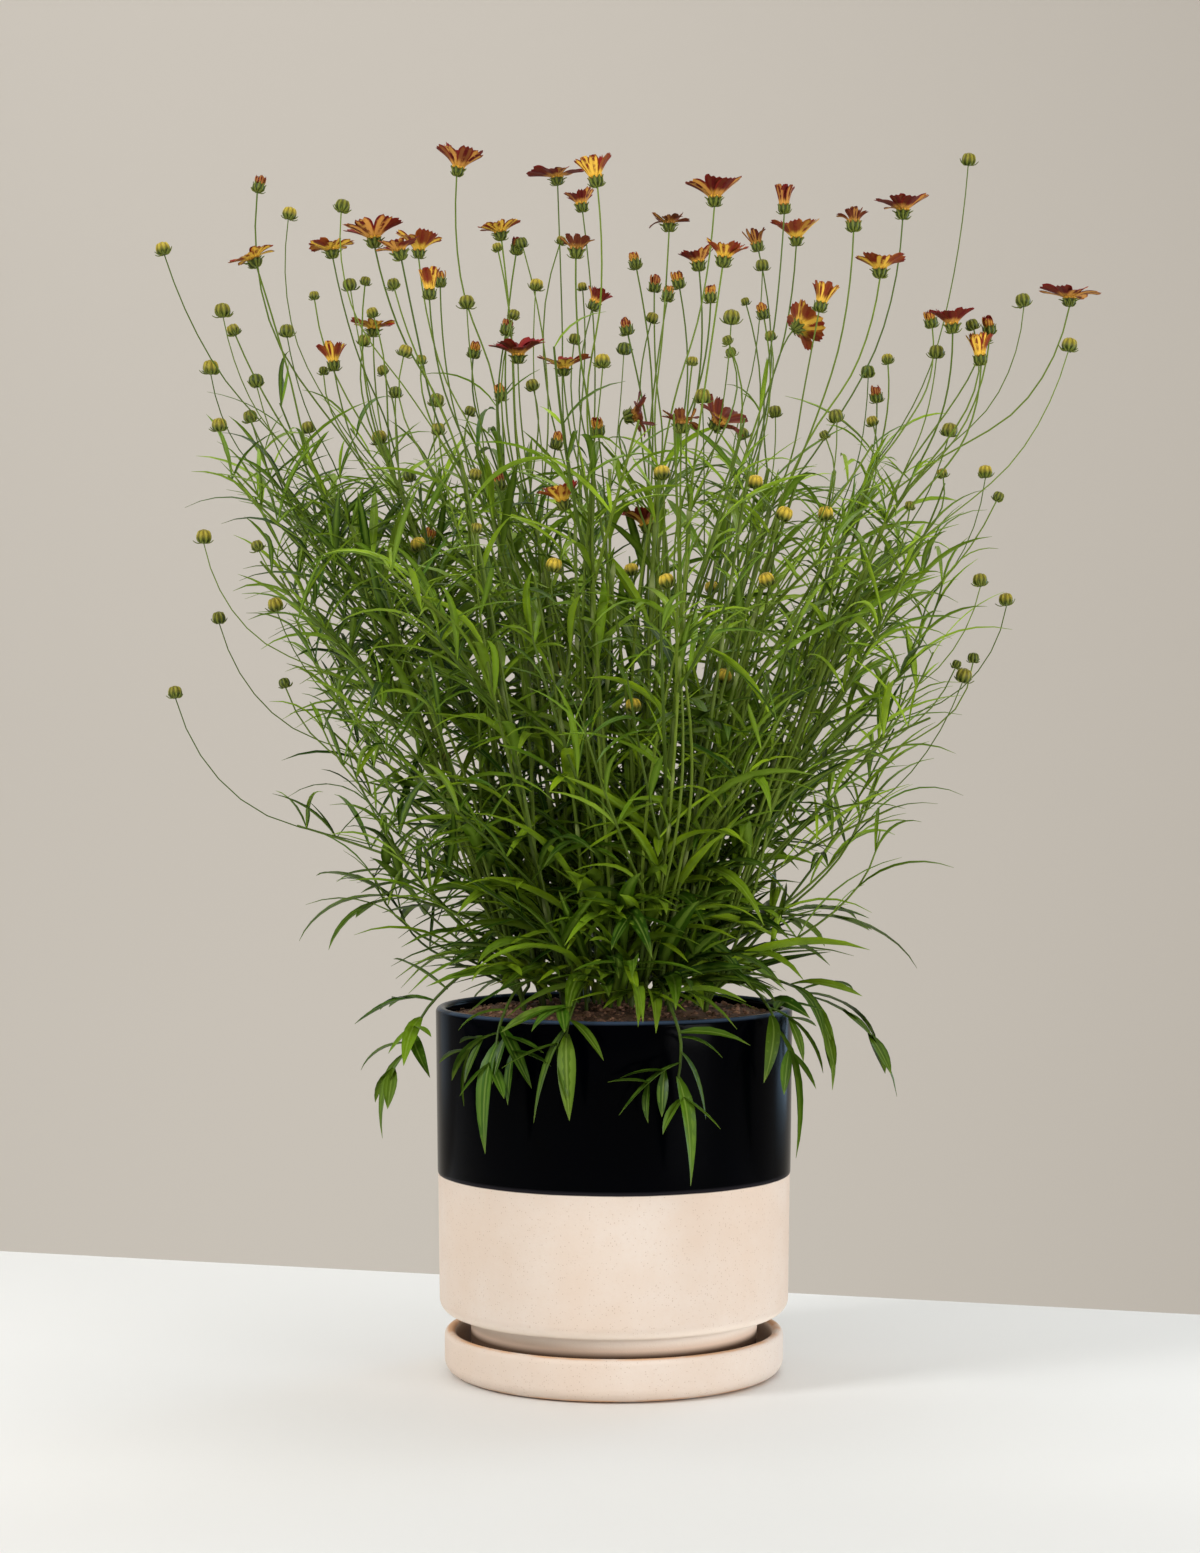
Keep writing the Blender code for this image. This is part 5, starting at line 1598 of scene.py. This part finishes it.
def strip(start, turn, pitches, length):
    """A path out of a head's axis: it leaves at a radius and height, and follows the pitches."""
    steps = np.stack((np.cos(pitches), np.zeros(len(pitches)), np.sin(pitches)), 1)
    run = np.vstack((np.zeros(3), np.cumsum(steps * length / len(pitches), axis=0)))
    path = run + np.array((start[0], 0.0, start[1]))
    spin = np.array(Matrix.Rotation(turn, 3, "Z"))
    return path @ spin.T, spin @ np.array((0.0, 1.0, 0.0))


def bract(sprig, base, stand, start, turn, pitches, length, width, tone, ages=(0.0, 0.3)):
    """A small pointed scale; its ages are where it lies on a head that ripens upwards."""
    path, side = strip(start, turn, np.array(pitches), length)
    along = unit(np.gradient(path, axis=0))
    normal = np.cross(along, side)
    t = np.linspace(0, 1, len(path))
    half = width / 2 * np.maximum(np.sin(math.pi * (0.18 + 0.8 * t)) ** 0.7, 0.05)
    rings = path[:, None] + side * half[:, None, None] * BRACT_ACROSS[:, None]
    rings += normal[:, None] * (0.25 * half[:, None] * np.abs(BRACT_ACROSS))[..., None]
    rings -= normal[:, None] * (0.35 * MM * BRACT_UNDER)[:, None]
    rings = rings @ stand.T + base
    age = ages[0] + (ages[1] - ages[0]) * t
    sprig.loft(rings, cup_green, age, 1 - np.abs(BRACT_ACROSS) * 0.8, BRACT_UNDER, tone)


def ears(sprig, base, stand, radius, draw):
    """The eight outer bracts."""
    start = (radius * 0.42, radius * 0.10)
    for k in range(BRACTS):
        turn = math.tau * (k + 0.5) / BRACTS + draw.uniform(-0.15, 0.15)
        open_by = math.radians(draw.uniform(-18, 14))
        pitches = np.radians((8, 26, 48, 58)) + open_by
        length = radius * draw.uniform(0.9, 1.35)
        bract(sprig, base, stand, start, turn, pitches, length, radius * 0.33, 0.0)


def bud(sprig, tip, axis, radius, ripe, draw):
    """A shut bud: its body, its ears, and eight inner bracts that close over its top."""
    stand = facing(axis, draw.uniform(0, math.tau))
    base = np.array(tip)
    ribbed(sprig, base, stand, BUD_PROFILE, radius, ripe)
    ears(sprig, base, stand, radius, draw)
    pitches = np.radians((100, 118, 150))
    start = (radius * 0.93, radius * 1.05)
    long, wide = radius * 0.85, radius * 0.6
    for k in range(BRACTS):
        turn = math.tau * k / BRACTS
        bract(sprig, base, stand, start, turn, pitches, long, wide, ripe, (0.5, 1.0))


def cup(sprig, tip, axis, opening, draw):
    """A bloom's cup, with eight inner bracts that lie against the backs of the rays."""
    stand = facing(axis, draw.uniform(0, math.tau))
    base = np.array(tip)
    ribbed(sprig, base, stand, CUP_PROFILE, CUP_RADIUS * 0.84, 0.0, 0.08)
    ears(sprig, base, stand, CUP_RADIUS * 0.8, draw)
    slope = min(opening + 22, 84)
    pitches = np.radians((88, slope + 10, slope - 6, slope - 12))
    start = (CUP_RADIUS * 0.80, CUP_RADIUS * 0.45)
    for k in range(BRACTS):
        turn = math.tau * k / BRACTS + draw.uniform(-0.08, 0.08)
        bract(sprig, base, stand, start, turn, pitches, INNER_LONG, INNER_WIDE, 0.0)
    return stand


# ---------------------------------------------------------------------------------------------
# The rays and the eye of a bloom: thin grooved petals with three teeth, crimson within and gold
# without, round a dome of small tubular florets. They grow out of the cup.

FLORET_GOLD = (0.86, 0.50, 0.02)
FLORET_BROWN = (0.28, 0.10, 0.02)
RAY_GROOVE = 0.16 * MM
RAY_THICK = 0.28 * MM
# Two waves of colour across a ray, from crest to crest, in radians.
STRIPE_TURN = 12.57
STRIPE_START = 1.57
# Round a ray's section, from one edge over the top and back below: how far across, which side,
# how high the grooves stand, and how far the tip is toothed.
RAY_ACROSS = np.array((1.0, 0.66, 0.33, 0.0, -0.33, -0.66, -1.0, -0.66, -0.33, 0.0, 0.33, 0.66))
RAY_UNDER = np.array((0.0,) * 7 + (1.0,) * 5)
RAY_RIDGE = np.array((0.0, 1.0, -0.6, 0.8, -0.6, 1.0, 0.0, 1.0, -0.6, 0.8, -0.6, 1.0))
RAY_TOOTH = np.array((-2.4, -0.3, -1.3, 0.0, -1.3, -0.3, -2.4, -0.3, -1.3, 0.0, -1.3, -0.3)) * MM

floret_gold = Finish("floret_gold", (0.75, 0.42, 0.03), 0.6)
along, _, _, tone = floret_gold.growth()
colour = floret_gold.mix(tone, FLORET_BROWN, FLORET_GOLD)
colour = floret_gold.mix(along.step(0.6, 0.0) * 0.6, colour, FLORET_BROWN)
matt = 0.55 + floret_gold.noise(900.0, 2.0) * 0.2
floret_gold.cover(colour, matt, floret_gold.noise(1500.0, 2.0), 0.0003, 0.5)


def ray_finish(name, inside, inside_edge, base, outside, stripe, dry):
    """A ray: one colour within, another without, striped along, pale at the base."""
    made = Finish(name, inside, 0.6, 0.14)
    along, over, under, tone = made.growth()
    fibre = made.noise(300.0, 3.0, 0.6)
    edge = (over - 0.5).size()
    ridge = made.sine(over * STRIPE_TURN + STRIPE_START)
    upper = made.mix(edge.step(0.28, 0.5) * tone, inside, inside_edge)
    upper = made.mix(along.step(0.30, 0.08), upper, base)
    upper = made.mix(ridge.step(0.2, 1.0) * 0.35, upper, dry)
    line = ridge.step(-0.5, 0.4) * along.step(0.08, 0.40) * fibre.step(0.32, 0.55)
    flush = along.step(0.12, 0.42) * tone.step(0.38, 0.60) * 0.95
    lower = made.mix(flush, outside, stripe)
    lower = made.mix(line, lower, stripe)
    lower = made.mix(edge.step(0.40, 0.5) * 0.5, lower, stripe)
    lower = made.mix(along.step(0.8, 1.0) * fibre.step(0.35, 0.6) * 0.7, lower, inside)
    colour = made.mix(under, upper, lower)
    colour = made.mix(along.step(0.85, 1.0) * fibre.step(0.5, 0.65) * 0.5, colour, dry)
    made.cover(colour, 0.5 + fibre * 0.2, ridge * 0.6 + fibre, 0.0004, 0.5)
    return made


crimson_ray = ray_finish(
    "crimson_ray",
    (0.20, 0.004, 0.006),
    (0.33, 0.035, 0.015),
    (0.72, 0.38, 0.01),
    (0.62, 0.29, 0.06),
    (0.115, 0.006, 0.006),
    (0.05, 0.003, 0.003),
)
golden_ray = ray_finish(
    "golden_ray",
    (0.24, 0.010, 0.006),
    (0.66, 0.27, 0.02),
    (0.80, 0.48, 0.01),
    (0.82, 0.49, 0.06),
    (0.19, 0.022, 0.008),
    (0.08, 0.008, 0.004),
)
faded_ray = ray_finish(
    "faded_ray",
    (0.12, 0.018, 0.008),
    (0.28, 0.09, 0.02),
    (0.46, 0.25, 0.015),
    (0.38, 0.17, 0.035),
    (0.11, 0.02, 0.008),
    (0.035, 0.007, 0.004),
)


def ray(sprig, finish, base, stand, start, turn, pitches, length, width, tone, draw):
    """One ray: narrow at its root, grooved, widest beyond the middle, three teeth at its tip."""
    path, side = strip(start, turn, pitches, length)
    along = unit(np.gradient(path, axis=0))
    t = np.linspace(0, 1, len(path))
    roll = draw.uniform(-0.35, 0.35) * t[:, None]
    normal = np.cross(along, side)
    tilted = side * np.cos(roll) + normal * np.sin(roll)
    normal = np.cross(along, tilted)
    swell = 0.46 + 0.54 * np.sin(np.minimum(t / 0.72, 1.0) * math.pi / 2) ** 1.3
    swell *= 1 - 0.16 * np.maximum(t - 0.72, 0) / 0.28
    half = (width / 2 * swell)[:, None, None]
    rings = path[:, None] + tilted[:, None] * half * RAY_ACROSS[:, None]
    dish = draw.uniform(0.05, 0.3)
    lift = dish * half[..., 0] * RAY_ACROSS**2 + RAY_GROOVE * RAY_RIDGE - RAY_THICK * RAY_UNDER
    rings += normal[:, None] * lift[..., None]
    tooth = np.maximum(t - 0.62, 0)[:, None] ** 2 / 0.38**2 * RAY_TOOTH
    rings += along[:, None] * tooth[..., None]
    rings = rings @ stand.T + base
    sprig.loft(rings, finish, t, (RAY_ACROSS + 1) / 2, RAY_UNDER, tone)


def florets(sprig, base, stand, radius, count, draw, tone):
    """The domed eye: a spiral of little tubular flowers."""
    for k in range(count):
        share = math.sqrt((k + 0.5) / count)
        turn = k * GOLDEN_ANGLE
        out = radius * 0.94 * share
        foot = np.array((out * math.cos(turn), out * math.sin(turn), 0.0))
        tall = (2.6 - share**2 + draw.uniform(-0.3, 0.3)) * MM
        tip = foot * 1.06 + np.array((0.0, 0.0, tall))
        path = np.array([foot, foot + (tip - foot) * 0.7, tip]) @ stand.T + base
        rod(sprig, floret_gold, path, (0.42 * MM, 0.52 * MM, 0.30 * MM), tone, 5)


# ---------------------------------------------------------------------------------------------
# The twenty leafy stems of the solids, with their leaves, runners, stalks and heads drawn finer
# on the very same lines. Each is one piece, as its solid is. The petals of heads that are only
# just opening, in crimson and gold, are one piece of their own.

GREENS = (leaf_green, stalk_green, cup_green)
RUNNER_STATIONS = 16
RUNNER_BROAD = 7.5 * MM
RUNNER_LOBES = 60 * MM
STALK_LEAVES = (44 * MM, 20 * MM, 2.6 * MM, 1.4 * MM)
CANE_STATIONS = 16
# How thick the fine stalks are, as shares of the solids' stalks.
STALK_GIRTH = 0.50
BUD_STALK_GIRTH = 0.42
# How high and how far out the stalks still carry leaves.
LEAFY_TOP = 0.53
LEAFY_SIDE = 0.19
# The heads low in the leaves that have turned yellow.
RIPE_HEADS = (
    (10, 448), (119, 479), (56, 438), (-31, 394), (79, 497), (30, 441), (11, 371), (61, 388),
    (-35, 450), (87, 442), (94, 479), (-109, 462), (27, 502),
)  # fmt: skip
RIPE_NEAR = 6 * MM

tufts = Sprig("opening_petals", crimson_ray, golden_ray, floret_gold)


def curve(points, count):
    """A smooth path through the points, its ends run on as they were going."""
    points = np.array([tuple(p) for p in points])
    first = 3 * points[0] - 3 * points[1] + points[2]
    last = 3 * points[-1] - 3 * points[-2] + points[-3]
    run = np.vstack((first, points, last))
    place = np.linspace(0, len(points) - 1, count)
    k = np.minimum(place.astype(int), len(points) - 2)
    t = (place - k)[:, None]
    a, b, c, d = run[k], run[k + 1], run[k + 2], run[k + 3]
    bend = (2 * a - 5 * b + 4 * c - d) * t**2 + (3 * b - a - 3 * c + d) * t**3
    return (2 * b + (c - a) * t + bend) / 2


def stalk(sprig, placed, draw):
    """The stalk of a head, thinner than in the solids, with a few thread-like leaves."""
    points, radii = placed["stalk"]
    path = curve(points, 14)
    radius = radii[0] * (BUD_STALK_GIRTH if placed["kind"] == "bud" else STALK_GIRTH)
    girth = np.linspace(radius * 1.12, radius * 0.9, len(path))
    rod(sprig, stalk_green, path, girth, tone_with_painted_light(draw, path[0]))
    inside = (path[:, 2] < LEAFY_TOP) & (np.abs(path[:, 0]) < LEAFY_SIDE)
    low = path[: np.count_nonzero(inside) * 2 // 3]
    if len(low) > 3:
        dress(sprig, low, 3 * MM, 24 * MM, STALK_LEAVES, draw)


def cane(sprig, stem, placed, draw):
    """The stalk runs on down beside its stem, a little apart from it, to the crown."""
    foot = stem.rise_of(placed["stalk"][0][0].z)
    low = draw.uniform(0.0, 0.35) * foot
    rises = np.linspace(low, foot, CANE_STATIONS)
    aside = draw.uniform(0, math.tau)
    apart = draw.uniform(5, 17) * MM
    path = np.array([tuple(stem.at(rise)) for rise in rises])
    bulge = apart * np.sin(np.linspace(0, math.pi, CANE_STATIONS))
    path[:, 0] += bulge * math.cos(aside)
    path[:, 1] += bulge * math.sin(aside)
    girth = np.linspace(1.0, 0.75, CANE_STATIONS) * MM
    rod(sprig, stalk_green, path, girth, draw.uniform(0.45, 1.0))


def opening_head(sprig, placed, draw):
    """A cup whose rays are only just pushing out, rolled up close together."""
    stand = cup(sprig, placed["tip"], placed["axis"], 76, draw)
    base = np.array(placed["tip"] + placed["axis"] * CUP_HEIGHT)
    finish = draw.choice((crimson_ray, golden_ray, golden_ray))
    start = (1.9 * MM, -1.2 * MM)
    for k in range(BRACTS):
        turn = math.tau * k / BRACTS + draw.uniform(-0.2, 0.2)
        pitches = np.radians(np.array((66, 84, 98, 108)) + draw.uniform(-10, 10))
        length = draw.uniform(4.5, 7.0) * MM
        ray(tufts, finish, base, stand, start, turn, pitches, length, 3.4 * MM, 0.5, draw)


def solid_leaves(sprig, grown, draw):
    """The leaves of the solid stem, finer, the broad ones now and then parted."""
    for points, width, twist in grown:
        path = curve(points, 9)
        tone = tone_with_painted_light(draw, path[0])
        blade(sprig, path, width, twist, 0.3, tone, draw.uniform(-0.4, 0.4))
        if width > BROAD_LEAF and draw.random() < 0.5:
            part_leaf(sprig, path, LOW_LEAF, width, tone, draw, (3,))


def runner(sprig, points, blades, draw):
    """A low stem that hangs over the rim, with the solid's leaves and two more."""
    path = curve(points, RUNNER_STATIONS)
    rod(sprig, stalk_green, path, np.linspace(1.15, 0.7, RUNNER_STATIONS) * MM, 0.5)
    for joint in (7, 11):
        turn = math.atan2(path[joint][1], path[joint][0])
        turn += draw.choice((-1, 1)) * draw.uniform(0.5, 1.3)
        lift = draw.uniform(-0.3, 0.5)
        long = draw.uniform(38, 58) * MM
        leaf(sprig, path[joint], turn, lift, 0.7, long, draw.uniform(6, 8.5) * MM, draw)
    for blade_points, width, twist in blades:
        path = curve(blade_points, 9)
        tone = draw.uniform(0.0, 0.26)
        blade(sprig, path, width * 1.12, twist, 0.25, tone, draw.uniform(-0.5, 0.5))
        if width > RUNNER_BROAD and draw.random() < 0.7:
            joints = draw.choice(((2,), (2, 4)))
            part_leaf(sprig, path, RUNNER_LOBES, width * 1.25, tone, draw, joints)


def is_ripe(tip):
    """True at the places where the heads have turned yellow."""
    x, z, _ = spot(*tip)
    apart = [math.hypot(x - a * MM, z - b * MM + EYE_HEIGHT) for a, b in RIPE_HEADS]
    return min(apart) < RIPE_NEAR


def solid_head(sprig, placed, draw):
    """The bud, opening head or cup that stands at the end of a stalk."""
    tip, axis = placed["tip"], placed["axis"]
    if placed["kind"] == "bud":
        ripe = draw.choice((0.0, 0.1, 0.2, 0.35, 0.55))
        radius = BUD_RADIUS * draw.uniform(0.84, 0.96)
        bud(sprig, tip, axis, radius, 1.0 if is_ripe(tip) else ripe, draw)
    elif placed["kind"] == "opening":
        opening_head(sprig, placed, draw)
    else:
        placed["stand"] = cup(sprig, tip, axis, placed["opening"], draw)


for stem in stems:
    draw = random.Random(500 + stem.number)
    sprig = Sprig(f"leafy_stem_{stem.number + 1:02d}", *GREENS)
    leafy_stem(sprig, stem, draw)
    solid_leaves(sprig, leaves[stem.number], draw)
    for points, blades in sprays.get(stem.number, ()):
        runner(sprig, points, blades, draw)
    for placed in stem.heads:
        stalk(sprig, placed, draw)
        cane(sprig, stem, placed, draw)
        solid_head(sprig, placed, draw)
    sprig.make(f"stem_{stem.number + 1:02d}")
tufts.make()

# ---------------------------------------------------------------------------------------------
# Slim stems: more stems of the same clump, between the twenty, that only fill it out. They are
# thinner than a sound solid can be, leafy all the way up, and stand in the soil like the others.

SLIM_STEMS = 18

for number in range(SLIM_STEMS):
    draw = random.Random(900 + number)
    stem = Stem(STEM_COUNT + number)
    stem.share = math.sqrt(draw.random()) * 1.02
    stem.angle = number * GOLDEN_ANGLE + 1.9
    stem.height = STEM_HEIGHT * draw.uniform(0.72, 1.02)
    sprig = Sprig(f"slim_stem_{number + 1:02d}", *GREENS)
    leafy_stem(sprig, stem, draw)
    sprig.make()

# ---------------------------------------------------------------------------------------------
# Outer shoots: slim leafy side shoots that leave the outer stems low down, all the way round,
# and spread the clump wider than its stems do. They are made in four pieces.

OUTER_SHOOTS = 56
OUTER_LEAVES = (82 * MM, 50 * MM, 5.4 * MM, 3.0 * MM)
OUTER_RADIUS = 1.15 * MM

outer = [stem for stem in stems if stem.share > 0.5]
for quarter in range(4):
    draw = random.Random(300 + quarter)
    sprig = Sprig(f"outer_shoots_{quarter + 1}", *GREENS)
    for number in range(quarter, OUTER_SHOOTS, 4):
        azimuth = number * GOLDEN_ANGLE + draw.uniform(-0.2, 0.2)
        stem = max(outer, key=lambda s: math.cos(s.angle - azimuth) + draw.uniform(0, 0.2))
        start = np.array(stem.at(draw.uniform(0.05, 0.235)))
        lift = math.radians(draw.uniform(22, 56))
        length = draw.uniform(85, 150) * MM
        grow_shoot(sprig, start, azimuth, lift, length, OUTER_RADIUS, draw, OUTER_LEAVES)
    sprig.make()

# ---------------------------------------------------------------------------------------------
# Flank shoots: taller leafy shoots on both sides of the clump, which fork off the nearest stem as
# a stalk does and end in leaves. Across and up, in millimetres, as seen from the front.

FLANKS = (
    (-206, 538), (-198, 520), (-188, 545), (-202, 492), (-190, 505), (-194, 470), (-183, 480),
    (-188, 448), (-176, 455), (-180, 425), (-168, 432), (-170, 408), (-158, 392), (-166, 366),
    (-150, 350), (-142, 328), (-134, 312), (-128, 292), (-136, 280), (-122, 268), (186, 500),
    (180, 470), (186, 448), (176, 432), (180, 405), (168, 388), (158, 362), (150, 340),
    (142, 322), (150, 305),
)  # fmt: skip
FLANK_LEAVES = (74 * MM, 50 * MM, 4.4 * MM, 2.7 * MM)

draw = random.Random(67)
sprig = Sprig("flank_shoots", *GREENS)
for x_mm, up_mm in FLANKS:
    stem = nearest_stem(stems, x_mm * 0.8, up_mm - 60, 0.0)
    tip = seen_from_front(x_mm, up_mm, draw.uniform(-70, 90) * MM)
    axis = head_axis(draw.uniform(5, 25) * math.copysign(1, x_mm), draw.uniform(-20, 20))
    foot = max(min(stem.rise_of(tip.z) - draw.uniform(90, 150) * MM, stem.height), 8 * MM)
    path = curve(stalk_path(stem, foot, draw.uniform(0, math.tau), tip, axis, 7), 14)
    rod(sprig, stalk_green, path, np.linspace(0.95, 0.5, 14) * MM, tone_with_painted_light(draw, path[6]))
    dress(sprig, path[4:], 2 * MM, 20 * MM, FLANK_LEAVES, draw, (0, 0, 1))
sprig.make()

# ---------------------------------------------------------------------------------------------
# Basal leaves: broad leaves, now and then parted, that crowd round the crown low on the stems
# and arch out over the rim of the pot.

BASAL_LEAVES = 230

draw = random.Random(77)
sprig = Sprig("basal_leaves", *GREENS)
for number in range(BASAL_LEAVES):
    azimuth = number * GOLDEN_ANGLE + draw.uniform(-0.3, 0.3)
    out = (20 + 38 * math.sqrt(draw.random())) * MM
    high = SOIL_EDGE_Z + (9 + 68 * draw.random() ** 1.9) * MM
    foot = np.array((out * math.cos(azimuth), out * math.sin(azimuth), high))
    lift = math.radians(draw.uniform(14, 68))
    droop = math.radians(draw.uniform(10, 90))
    length = draw.uniform(50, 108) * MM
    turn = azimuth + draw.uniform(-0.5, 0.5)
    leaf(sprig, foot, turn, lift, droop, length, draw.uniform(5.5, 11) * MM, draw)
sprig.make()

# ---------------------------------------------------------------------------------------------
# The smallest buds, on threads of stalks of their own that fork off the nearest stem. The
# yellow ones low in the leaves are larger and hang further to the front.

YELLOW_BUD = 4.2 * MM
YELLOW_AHEAD_MM = 22

draw = random.Random(41)
sprig = Sprig("small_buds", *GREENS)
front_stems = [stem for stem in stems if stem.at(0.15).y < 5 * MM]
for x_mm, up_mm in SMALL_BUDS:
    yellow = (x_mm, up_mm) in RIPE_HEADS
    stem = nearest_stem(front_stems if yellow else stems, x_mm, up_mm, 0.0)
    line = stem.at(stem.rise_of(up_mm * MM))
    ahead = draw.uniform(-20, 20) - (YELLOW_AHEAD_MM if yellow else 0)
    tip = seen_from_front(x_mm, up_mm, line.y * 0.9 + ahead * MM)
    axis = head_axis(draw.uniform(-25, 25), draw.uniform(-20, 20))
    foot = min(stem.rise_of(tip.z) - draw.uniform(60, 110) * MM, stem.height)
    path = curve(stalk_path(stem, max(foot, 20 * MM), draw.uniform(0, math.tau), tip, axis, 7), 12)
    rod(sprig, stalk_green, path, np.linspace(0.62, 0.42, 12) * MM, draw.uniform(0.4, 0.9))
    radius, ripe = draw.uniform(2.5, 3.6) * MM, draw.uniform(0, 0.35)
    if yellow:
        radius, ripe = YELLOW_BUD, 1.0
    bud(sprig, tip, axis, radius, ripe, draw)
sprig.make()

# ---------------------------------------------------------------------------------------------
# The blooms: eight grooved rays round a domed eye of florets. Each stands on the cup of its
# stalk; the younger ones are still half shut, the spent ones curled and browned.

RAYS_A_BLOOM = 8
RAY_BROADEST = 10.4 * MM
SHUT_RAY_WIDTH = 5.6 * MM
EYE_DROP = 0.9 * MM
EYE_FLORETS = 44
SHUT_FLORETS = 22
RAYS = {"red": crimson_ray, "gold": golden_ray, "spent": faded_ray}

for number, placed in enumerate(blooms, 1):
    draw = random.Random(700 + number)
    tone = placed["tone"]
    finish = RAYS[tone]
    opening, span, stand = placed["opening"], placed["span"] * MM, placed["stand"]
    base = np.array(placed["tip"] + placed["axis"] * (CUP_HEIGHT - EYE_DROP))
    shut = opening > SHUT_ANGLE
    spent = tone == "spent"
    length = SHUT_RAY_LENGTH if shut else (span / 2 - DISC_RADIUS) / math.cos(math.radians(opening))
    width = SHUT_RAY_WIDTH if shut else min(0.33 * span, RAY_BROADEST)
    sprig = Sprig(f"bloom_{number:02d}_rays", finish, floret_gold)
    start = (DISC_RADIUS * 0.72, 0.9 * MM)
    for k in range(RAYS_A_BLOOM):
        turn = math.tau * (k + 0.5) / RAYS_A_BLOOM + draw.uniform(-0.12, 0.12)
        tip_curl = draw.uniform(-60, 50) if spent else draw.uniform(-26, 6)
        swing = draw.uniform(-7, 7) + (draw.uniform(-16, 16) if spent else 0)
        pitches = np.radians(opening + 12 + swing + (tip_curl - 12) * np.linspace(0, 1, 8))
        long = length * draw.uniform(0.92, 1.08) + DISC_RADIUS * 0.28
        wide = width * draw.uniform(0.85, 1.1) * (0.7 if spent else 1.0)
        ray(sprig, finish, base, stand, start, turn, pitches, long, wide, draw.random(), draw)
    eye = DISC_RADIUS * (0.62 if shut else 1.0)
    count = SHUT_FLORETS if shut else EYE_FLORETS
    florets(sprig, base, stand, eye, count, draw, 0.35 if spent else 0.9)
    sprig.make(f"bloom_{number:02d}")
